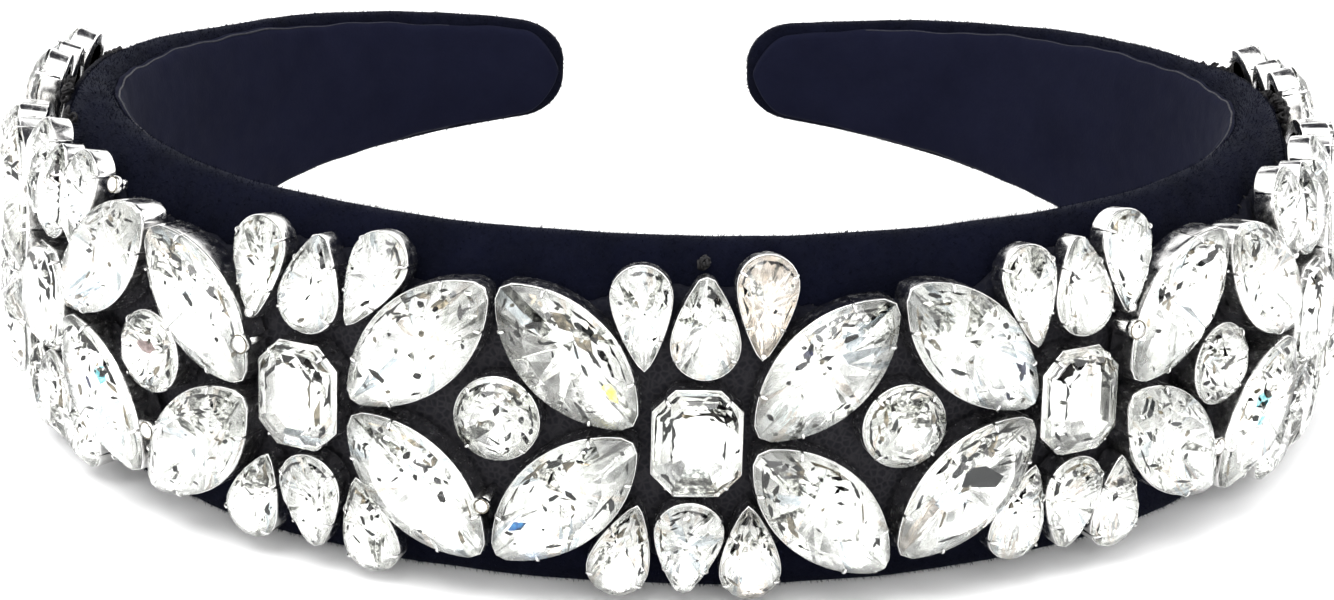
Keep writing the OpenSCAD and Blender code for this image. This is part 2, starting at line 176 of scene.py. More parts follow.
# Groups are counted from the crown's middle toward +X: even for an octagon and its pears, odd for a flower.
SHIFTS = {  # group: along, up, left petals' up, right petals' up, middle stone's along, middle stone's up
    -3: (0.3, 1.2, 0.1, -0.9, 0.8, -0.3),
    -2: (0, 0.7, 0, 0, 0, 0),
    -1: (0.1, 1, -0.2, 0, 0.7, 0.5),
    0: (0, 0, 0, 0, 0, 0),
    1: (-0.4, 0.7, -0.7, 0.5, 0.5, 0.4),
    2: (-0.8, 1.3, 0, 0, 0, 0),
    3: (-0.8, 1.3, 0.3, -0.5, -0.5, -0.3),
}
OTHER_SHIFT = (0, 0.5, 0, 0, 0, 0)
ASKEW = {  # group, row of its three pears: along, up and lean of each
    (-6, 1): ((0, -1.1, 0), (0, -0.1, 0), (0, -0.3, 0)),
    (-6, -1): ((0, 0.3, 0), (0, 0, 0), (0, 0.3, 0)),
    (-2, 1): ((0.4, -0.3, -5), (0.8, 0, -7), (1.1, 0.4, -20)),
    (-2, -1): ((0.2, 0.1, -18), (0.9, 0, 3), (1, -0.6, 6)),
    (0, 1): ((0.5, 0, 0), (0.6, 0, 0), (0.4, 1.1, 0)),
    (0, -1): ((-0.8, 0.4, -11), (-0.6, 0, -4), (-0.5, 0.3, 0)),
    (2, 1): ((0.7, -1, 2), (0.7, 0, 4), (0.5, 0.7, 0)),
    (2, -1): ((0.6, 0.7, -8), (0.5, 0, -4), (0.5, -0.3, -2)),
    (6, 1): ((0, -0.3, 0), (0, -0.1, 0), (0, -1.1, 0)),
    (6, -1): ((0, 0.3, 0), (0, 0, 0), (0, 0.3, 0)),
}
FLOWERS, OCTAGONS = range(-5, 6, 2), range(-6, 7, 2)


def middle_place(cut, g):
    along, up, _, _, middle_along, middle_up = SHIFTS.get(g, OTHER_SHIFT)
    return cut, g * HALF_PITCH + along + middle_along, up + middle_up, 0.0


def petal_place(g, x, y):
    along, up, left_up, right_up, _, _ = SHIFTS.get(g, OTHER_SHIFT)
    rise = up + (left_up if x < 0 else right_up)
    return MARQUISE, g * HALF_PITCH + along + x * PETAL_X, rise + y * PETAL_Y, x * y * PETAL_LEAN


def pear_place(g, row, side):
    _, s, up, _ = middle_place(PEAR, g)
    along, rise, lean = ASKEW[g, row][side + 1] if (g, row) in ASKEW else (0, 0, 0)
    if side == 0:
        return BROAD_PEAR, s + along, up + row * MIDDLE_Y + rise, (0 if row > 0 else 180) + lean
    flank = 180 - side * FAN if row > 0 else side * FAN
    return PEAR, s + side * FLANK_X + along, up + row * FLANK_Y + rise, flank + lean


def seat(place):
    """Frame of a setting: X and Y in its plane, Z out of it, with the floor's underside at zero."""
    _, s, up, lean = place
    foot = beside(s, -fall(up, s), MID_Z + up)
    out = LAYER_GAP + BACKING_T + SEAT_GAP
    return (
        Matrix.Translation(Vector(foot))
        @ Matrix.Rotation(plan(s)[2], 4, "Z")
        @ Matrix.Rotation(radians(90) - lean_back(up, s), 4, "X")
        @ Matrix.Translation(Vector((0, 0, out)))
        @ Matrix.Rotation(radians(lean), 4, "Z")
    )


def girdle_z(cut):
    return FLOOR_T + STONE_GAP + CUTS[cut][4] + CUTS[cut][3]


def placed(m, points):
    """Local points carried into the band's frame."""
    a = np.array(m)
    return np.asarray(points, float) @ a[:3, :3].T + a[:3, 3]


# Mesh helpers


def mesh_piece(name, points, faces, materials, face_material=None, smooth=True):
    """Object from points in millimetres and a list or array of faces."""
    me = bpy.data.meshes.new(name)
    me.from_pydata((np.asarray(points, float) * MM).tolist(), [], [list(map(int, f)) for f in faces])
    for m in materials:
        me.materials.append(m)
    if face_material is not None:
        me.polygons.foreach_set("material_index", np.asarray(face_material, np.int32))
    me.polygons.foreach_set("use_smooth", np.full(len(me.polygons), smooth))
    me.update()
    ob = bpy.data.objects.new(name, me)
    bpy.context.scene.collection.objects.link(ob)
    return ob


class Heap:
    """Points and faces of many small forms joined into one mesh."""

    def __init__(self):
        self.points, self.faces, self.kinds, self.count = [], [], [], 0

    def add(self, points, faces, kinds=0):
        self.points.append(np.asarray(points, float))
        self.faces.extend([[i + self.count for i in f] for f in faces])
        self.kinds.extend(kinds if isinstance(kinds, (list, tuple)) else [kinds] * len(faces))
        self.count += len(points)

    def piece(self, name, materials, smooth=True):
        return mesh_piece(name, np.concatenate(self.points), self.faces, materials, self.kinds, smooth)


def skin(rows, across, closed=True):
    """Quads between rows of points, each row holding the same number."""
    j, i = np.meshgrid(np.arange(rows - 1), np.arange(across if closed else across - 1), indexing="ij")
    k = (i + 1) % across
    corners = [j * across + i, j * across + k, (j + 1) * across + k, (j + 1) * across + i]
    return np.stack(corners, -1).reshape(-1, 4)


def end_faces(rows, across):
    """The first and the last of the rows as faces that close a skin."""
    last = (rows - 1) * across
    return [list(range(across))[::-1], [last + i for i in range(across)]]


def ripple(points, size, seed, waves=28):
    """Smooth random value of about -1 to 1 with bumps of about the given size."""
    rng = np.random.default_rng(seed)
    k = rng.normal(size=(waves, 3)) * (2 * pi / size) / 1.7
    phase = rng.uniform(0, 2 * pi, waves)
    return np.sin(points @ k.T + phase).sum(1) / sqrt(waves)


def even(line, count):
    """count points spaced evenly round a closed line, the first kept."""
    pts = np.vstack([line, line[:1]])
    reach = np.concatenate([[0], np.cumsum(np.linalg.norm(np.diff(pts, axis=0), axis=1))])
    at = np.linspace(0, reach[-1], count, endpoint=False)
    return np.stack([np.interp(at, reach, pts[:, i]) for i in range(pts.shape[1])], -1)


def tube(path, radii, sides, flat=1.0, up=(0, 0, 1)):
    """Closed tube along a path, as points and faces. radii is one radius or one for each point of the path,
    and flat is the tube's thickness as a share of its width."""
    path, up = np.asarray(path, float), np.asarray(up, float)
    t = np.gradient(path, axis=0)
    t /= np.linalg.norm(t, axis=1, keepdims=True) + 1e-12
    b = np.cross(t, up)
    b /= np.linalg.norm(b, axis=1, keepdims=True) + 1e-9
    n = np.cross(b, t)
    a = np.arange(sides) * 2 * pi / sides
    r = np.full(len(path), radii, float)[:, None, None]
    across, over = np.cos(a)[None, :, None], flat * np.sin(a)[None, :, None]
    rings = path[:, None] + r * (b[:, None] * across + n[:, None] * over)
    return rings.reshape(-1, 3), skin(len(path), sides).tolist() + end_faces(len(path), sides)


# Materials


def feed(tree, node, inputs):
    """Sets a node's inputs. One given as another node's socket is linked."""
    for key, value in inputs.items():
        if isinstance(value, bpy.types.NodeSocket):
            tree.links.new(value, node.inputs[key])
        else:
            node.inputs[key].default_value = value


def add_node(tree, kind, inputs, **options):
    node = tree.nodes.new("ShaderNode" + kind)
    for option, value in options.items():
        setattr(node, option, value)
    feed(tree, node, inputs)
    return node


def new_material(name):
    m = bpy.data.materials.new(name)
    m.use_nodes = True
    return m, m.node_tree


def surface(m, inputs):
    feed(m.node_tree, m.node_tree.nodes["Principled BSDF"], inputs)
    return m


def place_of(tree, scale):
    """The object's own coordinates, in metres, times a scale."""
    coords = add_node(tree, "TexCoord", {}).outputs["Object"]
    return add_node(tree, "Mapping", {"Vector": coords, "Scale": (scale,) * 3}).outputs["Vector"]


def noise(tree, size, detail=3.0, rough=0.55):
    """Noise whose bumps are about size across."""
    inputs = {"Vector": place_of(tree, 1 / MM / size), "Scale": 1.0, "Detail": detail, "Roughness": rough}
    return add_node(tree, "TexNoise", inputs).outputs["Fac"]


def cells(tree, size, feature="F1"):
    """Distance within Voronoi cells about size across."""
    inputs = {"Vector": place_of(tree, 1 / MM / size), "Scale": 1.0}
    return add_node(tree, "TexVoronoi", inputs, feature=feature).outputs["Distance"]


def ramp(tree, value, low, high, span=(0.3, 0.7)):
    """Colours by value, from low at the span's start to high at its end."""
    r = add_node(tree, "ValToRGB", {"Fac": value})
    for element, at, colour in zip(r.color_ramp.elements, span, (low, high)):
        element.position = at
        element.color = (*colour, 1)
    return r.outputs["Color"]


def spread(tree, value, low, high, from_low=0.3, from_high=0.7):
    """A value carried from one range to another."""
    inputs = {"Value": value, "From Min": from_low, "From Max": from_high, "To Min": low, "To Max": high}
    return add_node(tree, "MapRange", inputs).outputs["Result"]


def maths(tree, operation, *values):
    """Math node on sockets or constants."""
    return add_node(tree, "Math", dict(enumerate(values)), operation=operation).outputs[0]


def axis_z(tree, vector):
    return add_node(tree, "SeparateXYZ", {"Vector": vector}).outputs["Z"]


def relief(tree, height, depth, strength=1.0, below=None):
    """Bump of a depth."""
    inputs = {"Height": height, "Distance": depth * MM, "Strength": strength}
    if below is not None:
        inputs["Normal"] = below
    return add_node(tree, "Bump", inputs).outputs["Normal"]


def velvet_material():
    m, t = new_material("velvet")
    nap = noise(t, 6.0, 4, 0.6)
    return surface(m, {
        "Base Color": ramp(t, nap, (0.001, 0.0013, 0.0041), (0.0022, 0.0027, 0.008)),
        "Roughness": spread(t, noise(t, 1.2), 0.85, 1.0),
        "Normal": relief(t, noise(t, 0.35, 2), 0.12, 0.8, relief(t, nap, 0.4, 0.4)),
        "Sheen Weight": 0.02, "Sheen Roughness": 0.35, "Sheen Tint": (0.45, 0.55, 0.85, 1),
        "Specular IOR Level": 0.05,
    })


def facing_material():
    m, t = new_material("facing")
    blotch = noise(t, 9.0, 3)
    return surface(m, {
        "Base Color": ramp(t, blotch, (0.0035, 0.004, 0.0108), (0.005, 0.0057, 0.0145)),
        "Roughness": spread(t, noise(t, 2.0), 0.8, 0.96),
        "Normal": relief(t, cells(t, 0.42), 0.05, 0.6, relief(t, blotch, 0.3, 0.3)),
        "Sheen Weight": 0.005, "Sheen Roughness": 0.5, "Sheen Tint": (0.6, 0.65, 0.9, 1),
        "Specular IOR Level": 0.035,
    })


# Distance from the band's middle height at which the net begins to get darker, and at which it is darkest.
NET_DARKENING = (9.8, 12.2)
MESH_SPAN = (0.0, 0.25)  # share of a mesh cell, from its thread inward


def net_material():
    """Black net that is darker, nearer to the velvet's own colour, toward its long edges."""
    m, t = new_material("net")
    mesh = cells(t, 0.7, "DISTANCE_TO_EDGE")
    middle = ramp(t, mesh, (0.024, 0.023, 0.026), (0.0105, 0.0105, 0.0135), MESH_SPAN)
    edge = ramp(t, mesh, (0.0048, 0.005, 0.0085), (0.0022, 0.0026, 0.0062), MESH_SPAN)
    away = maths(t, "ABSOLUTE", maths(t, "SUBTRACT", axis_z(t, place_of(t, 1.0)), MID_Z * MM))
    edge_darkening = spread(t, away, 0, 1, *[d * MM for d in NET_DARKENING])
    blend = add_node(t, "MixRGB", {"Fac": edge_darkening, "Color1": middle, "Color2": edge})
    return surface(m, {
        "Base Color": blend.outputs["Color"],
        "Roughness": spread(t, noise(t, 1.5), 0.7, 0.95),
        "Normal": relief(t, mesh, -0.2, 0.8),
        "Specular IOR Level": 0.1,
    })


def thread_material(name, dark, light):
    m, t = new_material(name)
    return surface(m, {
        "Base Color": ramp(t, noise(t, 0.9, 3), dark, light, (0.35, 0.65)),
        "Roughness": spread(t, noise(t, 0.5), 0.5, 0.8),
        "Normal": relief(t, noise(t, 0.14, 2), 0.05, 0.7),
        "Specular IOR Level": 0.3,
    })


def silver_material():
    m, t = new_material("silver")
    return surface(m, {
        "Base Color": ramp(t, noise(t, 1.6, 4), (0.62, 0.61, 0.6), (0.86, 0.86, 0.85)),
        "Roughness": spread(t, noise(t, 0.8, 3), 0.1, 0.3),
        "Normal": relief(t, noise(t, 0.6, 3), 0.02, 0.5),
        "Metallic": 1.0,
    })


def glass_material():
    m, t = new_material("crystal")
    return surface(m, {
        "Base Color": ramp(t, noise(t, 5.0, 2), (0.987, 0.991, 0.981), (0.997, 1, 0.991)),
        "Roughness": spread(t, noise(t, 0.8, 2), 0.0, 0.03, 0.45, 0.8),
        "Normal": relief(t, noise(t, 2.4, 2), 0.02, 0.35),
        "Transmission Weight": 1.0, "IOR": 1.47,
    })


def foil_material(name, low, high, rough):
    """Mirror foil behind a stone, a little uneven. The same material also makes the painted reflections,
    painted shade and painted flashes laid in the stones.
    """
    m, t = new_material(name)
    return surface(m, {
        "Base Color": ramp(t, noise(t, 0.7, 4), low, high, (0.38, 0.6)),
        "Roughness": spread(t, noise(t, 0.5, 3), rough, rough + 0.06),
        "Normal": relief(t, noise(t, 1.1, 3), 0.05, 0.5),
        "Metallic": 1.0,
    })


VELVET = velvet_material()
FACING = facing_material()
NET = net_material()
THREAD = thread_material("thread", (0.0022, 0.002, 0.0028), (0.008, 0.007, 0.0075))
SEAM = thread_material("seam", (0.005, 0.0055, 0.011), (0.0085, 0.0093, 0.0165))
SILVER = silver_material()
GLASS = glass_material()
# bright is the stones' own mirror foil; dark, slate, brown, navy, rose, dappled and mist are painted
# reflections and painted shade, and blue, yellow and teal are painted flashes of split light.
FOIL_LOOKS = {  # darkest colour, lightest colour, roughness
    "bright": ((0.81, 0.82, 0.79), (0.98, 0.985, 0.97), 0.22),
    "dappled": ((0.023, 0.024, 0.019), (0.79, 0.8, 0.75), 0.12),
    "brown": ((0.056, 0.05, 0.035), (0.21, 0.185, 0.14), 0.15),
    "slate": ((0.01, 0.011, 0.0115), (0.03, 0.032, 0.032), 0.15),
    "mist": ((0.52, 0.575, 0.6), (0.7, 0.745, 0.77), 0.2),
    "navy": ((0.003, 0.004, 0.025), (0.02, 0.024, 0.065), 0.12),
    "rose": ((0.16, 0.118, 0.112), (0.3, 0.235, 0.225), 0.15),
    "dark": ((0.001, 0.001, 0.0012), (0.02, 0.019, 0.018), 0.04),
    "blue": ((0.008, 0.06, 0.22), (0.06, 0.24, 0.48), 0.04),
    "yellow": ((0.78, 0.7, 0.1), (0.95, 0.9, 0.4), 0.04),
    "teal": ((0.1, 0.38, 0.42), (0.42, 0.68, 0.72), 0.04),
    "cream": ((0.7, 0.64, 0.57), (0.86, 0.82, 0.77), 0.2),
}
FOILS_AND_PAINTED_LIGHT = {name: foil_material("foil_or_painted_light_" + name, *look) for name, look in FOIL_LOOKS.items()}
STONE_MATERIALS = [GLASS, *FOILS_AND_PAINTED_LIGHT.values()]
FOIL_AND_PAINTED_LIGHT_SLOT = {name: i + 1 for i, name in enumerate(FOILS_AND_PAINTED_LIGHT)}


def hand_in(piece, node=None):
    """Puts a piece on the part's body, in place of a CAD node if one is named."""
    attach(piece, "root")
    if node:
        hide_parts(node)


# Velvet band

AROUND = 112  # points round a section
BAND_STEP = 0.85  # between two sections
PILE_ROOM = 0.32  # how far the cover stays under the band's own face, for the pile
FIBRES, FIBRE_L, FIBRE_HALF_W, FIBRE_SUNK = 72000, (0.22, 0.5), 0.045, 0.05
# As shares of a fibre's length: its rise off the velvet, its mean lean along the band, the lean's spread.
FIBRE_RISE, FIBRE_LEAN, FIBRE_STRAY = 0.9, 0.3, 0.35
UNDER_NET, UNDER_FACING = 2.5, 0.8  # how far the pile goes on under the net and the facing
LOWEST_FIBRE = 0.01


def band_ring(s):
    """Points round the padded band, evenly spaced, starting at the middle of its outer side."""
    d = (BAND_L - abs(s)) / TIP_ROUND
    full = band_t(s)
    h, t = band_h(s) * nose(d, TIP_H_POWER), full * nose(d, TIP_T_POWER)
    a = np.linspace(0, 2 * pi, 721)[:-1]
    power = np.where(np.cos(a) >= 0, OUTER_POWER, INNER_POWER)
    out = t / 2 * np.sign(np.cos(a)) * np.abs(np.cos(a)) ** (2 / power) - full / 2
    up = h / 2 * np.sign(np.sin(a)) * np.abs(np.sin(a)) ** (2 / power)
    return even(np.stack([out, up], -1), AROUND)


def velvet_stations():
    tip = TIP_ROUND * np.linspace(0.02, 1, 16) ** 2
    runs = int(2 * (BAND_L - TIP_ROUND) / BAND_STEP)
    middle = np.linspace(-BAND_L + TIP_ROUND, BAND_L - TIP_ROUND, runs)[1:-1]
    return np.concatenate([-BAND_L + tip, middle, (BAND_L - tip)[::-1]])


def swell(points):
    """Hand-covered padding: slow swells and a fine unevenness, set back to leave room for the pile."""
    return 0.11 * ripple(points, 26, 1) + 0.04 * ripple(points, 7, 2) - PILE_ROOM


def grid_normals(points, rows, across):
    """Outward normals of a closed band of rows."""
    g = points.reshape(rows, across, 3)
    along = np.gradient(g, axis=0)
    round_it = np.roll(g, -1, axis=1) - np.roll(g, 1, axis=1)
    n = np.cross(along, round_it)
    return (n / (np.linalg.norm(n, axis=-1, keepdims=True) + 1e-9)).reshape(-1, 3)


def velvet_band():
    stations = velvet_stations()
    sections = [band_ring(s) for s in stations]
    rings = np.concatenate([beside(s, sec[:, 0], MID_Z + sec[:, 1]) for s, sec in zip(stations, sections)])
    rows = len(stations)
    normals = grid_normals(rings, rows, AROUND)
    points = rings + normals * swell(rings)[:, None]
    points[:, 2] = np.clip(points[:, 2], 0.0, None)
    faces = skin(rows, AROUND).tolist()
    n, base = len(points), (rows - 1) * AROUND
    faces += [[n, (i + 1) % AROUND, i] for i in range(AROUND)]
    faces += [[n + 1, base + i, base + (i + 1) % AROUND] for i in range(AROUND)]
    middles = points[:AROUND].mean(0), points[-AROUND:].mean(0)
    cover = mesh_piece("velvet_cover", np.vstack([points, *middles]), faces, [VELVET])
    return cover, points, normals, stations, np.array(sections)


def pile(points, normals, stations, sections):
    """Short fibres standing on the velvet wherever it shows, leaning along the band."""
    rng = np.random.default_rng(7)
    rows = len(stations)
    g, gn = points.reshape(rows, AROUND, 3), normals.reshape(rows, AROUND, 3)
    bare = np.ones((rows, AROUND), bool)
    for j, s in enumerate(stations):
        out, up = sections[j][:, 0], np.abs(sections[j][:, 1])
        if abs(s) < BACKING_END - 1:
            bare[j] &= ~((out > -band_t(s) / 2) & (up < backing_half(s) - UNDER_NET))
        if abs(s) < BAND_L - TIP_ROUND:
            bare[j] &= ~((out < -band_t(s) * 0.9) & (up < band_h(s) / 2 - facing_margin(s) - UNDER_FACING))
    jj, ii = np.nonzero(bare[:-1])
    lengths = np.linalg.norm(g[jj + 1, ii] - g[jj, ii], axis=1)
    area = lengths * np.linalg.norm(g[jj, (ii + 1) % AROUND] - g[jj, ii], axis=1)
    pick = rng.choice(len(jj), FIBRES, p=area / area.sum())
    j, i = jj[pick], ii[pick]
    k = (i + 1) % AROUND
    u, v = rng.random((2, FIBRES, 1))
    root = (g[j, i] * (1 - u) + g[j + 1, i] * u) * (1 - v) + (g[j, k] * (1 - u) + g[j + 1, k] * u) * v
    normal = gn[j, i]
    along = g[j + 1, i] - g[j, i]
    along /= np.linalg.norm(along, axis=1, keepdims=True)
    aside = np.cross(normal, along)
    lean = along * rng.normal(FIBRE_LEAN, FIBRE_STRAY, (FIBRES, 1))
    lean += aside * rng.normal(0, FIBRE_STRAY, (FIBRES, 1))
    tip = root + (normal * FIBRE_RISE + lean) * rng.uniform(*FIBRE_L, (FIBRES, 1))
    turn = rng.uniform(0, pi, (FIBRES, 1))
    side = (along * np.cos(turn) + aside * np.sin(turn)) * FIBRE_HALF_W
    sunk = root - normal * FIBRE_SUNK
    tris = np.stack([sunk - side, sunk + side, tip], 1).reshape(-1, 3)
    tris[:, 2] = np.maximum(tris[:, 2], LOWEST_FIBRE)
    faces = np.arange(3 * FIBRES).reshape(-1, 3).tolist()
    return mesh_piece("velvet_pile", tris, faces, [VELVET], smooth=False)


cover, *band_grid = velvet_band()
hand_in(cover, "band")
hand_in(pile(*band_grid))

# Facing and net, thin closed sheets

CLOTH_EDGE = 0.15  # how thick a sheet is at its very edge, as a share


def cloth(
    name, stations, half_of, face_of, thick, material, fold, seed, across=27, ease=0.5, middle_of=None,
):
    """Closed thin sheet on the band. face_of(up, s) is how far outside the outer face its near side lies,
    thick is signed toward the side that shows, fold is its own unevenness as a share of thick,
    and its edges roll over within ease."""
    rows = []
    for s in stations:
        half = half_of(s)
        k = np.sin(np.linspace(-pi / 2, pi / 2, across))
        up = k * half + (middle_of(s) if middle_of else 0)
        edge = np.clip((1 - np.abs(k)) * half / ease, 0, 1)
        lift = thick * (CLOTH_EDGE + (1 - CLOTH_EDGE) * np.sqrt(1 - (1 - edge) ** 2))
        near = face_of(up, s)
        low = beside(s, near, MID_Z + up)
        wave = np.sign(thick) * swell(low)
        fine = thick * fold * ripple(low, 3.5, seed) * edge
        top = beside(s, near + wave + lift + fine, MID_Z + up)
        low = beside(s, near + wave, MID_Z + up)
        rows.append(np.vstack([top, low[::-1]]))
    pts = np.concatenate(rows)
    n = 2 * across
    faces = skin(len(stations), n).tolist()
    last = (len(stations) - 1) * n
    for i in range(across - 1):
        faces.append([i, n - 1 - i, n - 2 - i, i + 1])
        faces.append([last + i, last + i + 1, last + n - 2 - i, last + n - 1 - i])
    return mesh_piece(name, pts, faces, [material])


FACING_END, FACING_T, NET_T = BAND_L - 1.2, 0.8, 1.05
FACING_TURN, FACING_LAST = 5, 0.995  # length over which its ends round off, share of it that is reached
FACING_LIFT, NET_LIFT = 0.1, 0.08  # how far their near sides lie off the band's own faces
# Unevenness of an edge cut by hand: size, rate along the band and start of each wave.
FACING_WAVES = [(0.12, 0.31, 0), (0.07, 0.83, 1)]
NET_WAVES = [(0.16, 1.7, 0), (0.1, 3.9, 2)]


def waver(s, waves):
    return sum(size * sin(s * rate + start) for size, rate, start in waves)


def facing_half(s):
    """Half the facing's height, with a slightly uneven edge and rounded ends."""
    full = band_h(s) / 2 * nose((BAND_L - abs(s)) / TIP_ROUND, TIP_H_POWER) - facing_margin(s)
    ended = min(max((abs(s) - FACING_END + FACING_TURN) / FACING_TURN, 0), FACING_LAST)
    return full * sqrt(1 - ended**2) + waver(s, FACING_WAVES) * (1 - ended)


def facing_near(up, s):
    return -inside_true(up, s) - FACING_LIFT


turning = np.linspace(FACING_END - FACING_TURN, FACING_END, 12)
facing_stations = np.concatenate([-turning[:0:-1], np.linspace(-turning[0], turning[0], 460), turning[1:]])
facing = cloth(
    "facing_cloth", facing_stations, facing_half, facing_near, -FACING_T, FACING, fold=0.03, seed=11,
)
hand_in(facing, "lining")


def net_half(s):
    """Half the net's height: cut close round the stones, a little unevenly."""
    return backing_half(s) + waver(s, NET_WAVES)


NET_FOLLOWS_TO = 70  # arc length up to which the net follows each group of stones
NET_MARGIN = 0.7  # least distance of its higher edge from the band's


def net_middle(s):
    """Height of the net's middle, which follows the stones up the band."""
    groups, ups = zip(*[(g, SHIFTS[g][1]) for g in sorted(SHIFTS)])
    wish = float(np.interp(s / HALF_PITCH, groups, ups)) if abs(s) < NET_FOLLOWS_TO else OTHER_SHIFT[1]
    return min(wish, max(band_h(s) / 2 - NET_MARGIN - backing_half(s), 0))


def net_near(up, s):
    return NET_LIFT - fall_true(up, s)


net = cloth(
    "net_backing", np.linspace(-BACKING_END, BACKING_END, 330), net_half, net_near, NET_T, NET,
    fold=0.05, seed=21, across=37, ease=1.5, middle_of=net_middle,
)
hand_in(net, "backing")


def area_of(half_of, end):
    s = np.linspace(-end, end, 800)
    return float(np.sum([2 * half_of(x) for x in s]) * (s[1] - s[0])) * MM * MM


2 * facing_half(0) * MM
min(area_of(facing_half, FACING_END), 4 * facing_half(0) * FACING_END * MM * MM)
net_width = 2 * max(net_half(s) for s in np.linspace(-BACKING_END, BACKING_END, 800))
area_of(net_half, BACKING_END)

# Thread


def on_outer(s, up, out):
    """Point outside the outer face of the band."""
    return beside(s, out - fall(up, s), MID_Z + up)


def on_velvet(s, up, out):
    """Point outside the velvet of the outer face."""
    return beside(s, out - PILE_ROOM - fall_true(up, s), MID_Z + up)


STITCH_R, THREAD_R, SEAM_R = 0.08, 0.17, 0.11
# Ranges of a stitch's reach over the net's edge, of its slant and of the step to the next one.
STITCH_REACH, STITCH_SLANT, STITCH_STEP = (0.2, 0.45), (-0.5, 0.6), (0.9, 3.2)
STITCH_INSET, STITCH_TOP = 0.25, 0.3  # how far inside the net's edge it starts, least way to the band's edge
STITCH_ARCH, STITCH_DROP = 0.22, 0.15  # height of its loop, how much higher its first end lies
# How far the seam stops before the facing's ends, runs inside its edge and lies off the velvet.
SEAM_STOP, SEAM_INSET, SEAM_LIFT = 16, 0.1, 0.55
# A tangle's spread up and along as shares of its radius, its height off the band, its way to the edge.
TANGLE_UP, TANGLE_ALONG, TANGLE_OUT, TANGLE_EDGE = 0.7, 0.9, (0.3, 1.3), 1.2
COIL_R, COIL_TURNS, COIL_HALF = (0.32, 0.55), 1.6, 0.25  # a bobble's range of radius, turns, half length


def whip_stitches():
    """Loops that bind the net's edge to the velvet."""
    rng = np.random.default_rng(31)
    heap = Heap()
    arc = np.linspace(0, pi, 7)
    for side in (-1, 1):
        s = -BACKING_END + 0.5
        while s < BACKING_END - 0.5:
            edge = net_half(s) + side * net_middle(s)
            reach = rng.uniform(*STITCH_REACH)
            slant = rng.uniform(*STITCH_SLANT)
            up = np.minimum(edge - STITCH_INSET - reach * np.cos(arc), band_h(s) / 2 - STITCH_TOP)
            path = [on_velvet(s + slant * i / 6, side * u, STITCH_ARCH * sin(a) + STITCH_DROP * (1 - i / 6))
                    for i, (u, a) in enumerate(zip(up, arc))]
            h = plan(s)[2]
            heap.add(*tube(path, STITCH_R, 5, up=(cos(h), sin(h), 0)))
            s += rng.uniform(*STITCH_STEP)
    return heap.piece("whip_stitches", [THREAD])


KNOTS = [  # arc length, height up, radius, how many: tangled thread at the ends of the net
    (-131, 17.2, 1.3, 16), (-126.5, 18.2, 1.0, 7), (-110, 17.6, 0.9, 8), (-103.5, 16.6, 0.8, 6),
    (-90.5, 17.0, 0.7, 5), (131, 17.2, 1.3, 18), (127, 18.0, 1.1, 10), (113.5, 17.8, 0.9, 8),
    (108, 17.2, 1.0, 12), (104, 16.4, 0.9, 9), (47.5, 17.9, 0.6, 5), (0.4, 17.7, 0.5, 5),
]


def knots():
    """Small bobbles of looped thread."""
    rng = np.random.default_rng(41)
    heap = Heap()
    for s, up, radius, count in KNOTS:
        for _ in range(count):
            height = up + rng.normal(0, radius * TANGLE_UP)
            height = min(height, band_h(s) / 2 - TANGLE_EDGE - rng.uniform(0, TANGLE_EDGE))
            spot = on_outer(s + rng.normal(0, radius * TANGLE_ALONG), height, rng.uniform(*TANGLE_OUT))
            r = rng.uniform(*COIL_R)
            axis = rng.normal(size=3)
            axis /= np.linalg.norm(axis)
            u = np.cross(axis, [0.3, 0.5, 0.8])
            u /= np.linalg.norm(u)
            v = np.cross(axis, u)
            a = np.linspace(0, 2 * pi * COIL_TURNS, 15)
            climb = np.linspace(-COIL_HALF, COIL_HALF, 15)[:, None] * axis
            coil = spot + r * (np.cos(a)[:, None] * u + np.sin(a)[:, None] * v) + climb
            heap.add(*tube(coil, THREAD_R, 5, up=axis))
    return heap.piece("thread_bobbles", [THREAD])


def facing_seam():
    """Corded seam along both edges of the facing."""
    heap = Heap()
    for side in (-1, 1):
        stations = np.linspace(-FACING_END + SEAM_STOP, FACING_END - SEAM_STOP, 500)
        path = []
        for s in stations:
            up = side * (facing_half(s) - SEAM_INSET)
            path.append(beside(s, -inside_true(up, s) + PILE_ROOM - SEAM_LIFT, MID_Z + up))
        heap.add(*tube(path, SEAM_R, 6))
    return heap.piece("facing_seam", [SEAM])


hand_in(whip_stitches())
hand_in(knots())
hand_in(facing_seam())

# Outlines of the stones


def marquise_line(l, w):
    """Two arcs that meet in rounded tips."""
    r, tip = (l * l / 4 + w * w / 4) / w, MARQUISE_TIP
    turn = acos((r - w / 2) / (r - tip))
    b = np.linspace(pi / 2, pi - turn, 11)[:-1]
    a = np.linspace(turn, -turn, 61)
    end = np.stack([tip * np.cos(b), (r - tip) * sin(turn) + tip * np.sin(b)], -1)
    side = np.stack([r - w / 2 - r * np.cos(a), r * np.sin(a)], -1)
    left = np.vstack([end, side, (end * [1, -1])[::-1]])
    return np.vstack([left[:-1], -left[:-1]])


def pear_line(l, w, tip):
    """A half circle whose sides run up to a rounded tip."""
    r, rise = w / 2, l - w / 2
    a = np.linspace(90, 0, 41) * pi / 180
    climb = rise * (PEAR_TAPER * (1 - np.cos(a)) + (1 - PEAR_TAPER) * np.sin(a))
    flank = np.stack([-r * np.cos(a), r - l / 2 + climb], -1)
    open_half = atan2(r, rise * PEAR_TAPER)
    c = np.linspace(pi / 2, pi - open_half, 9)
    end = np.stack([tip * np.cos(c), l / 2 - tip / sin(open_half) + tip * np.sin(c)], -1)
    left = np.vstack([end, flank[flank[:, 1] < end[-1, 1] - 0.05]])
    b = pi + np.linspace(0, pi, 41)[1:]
    round_end = np.stack([r * np.cos(b), r - l / 2 + r * np.sin(b)], -1)
    return np.vstack([left, round_end, (left * [-1, 1])[1:-1][::-1]])


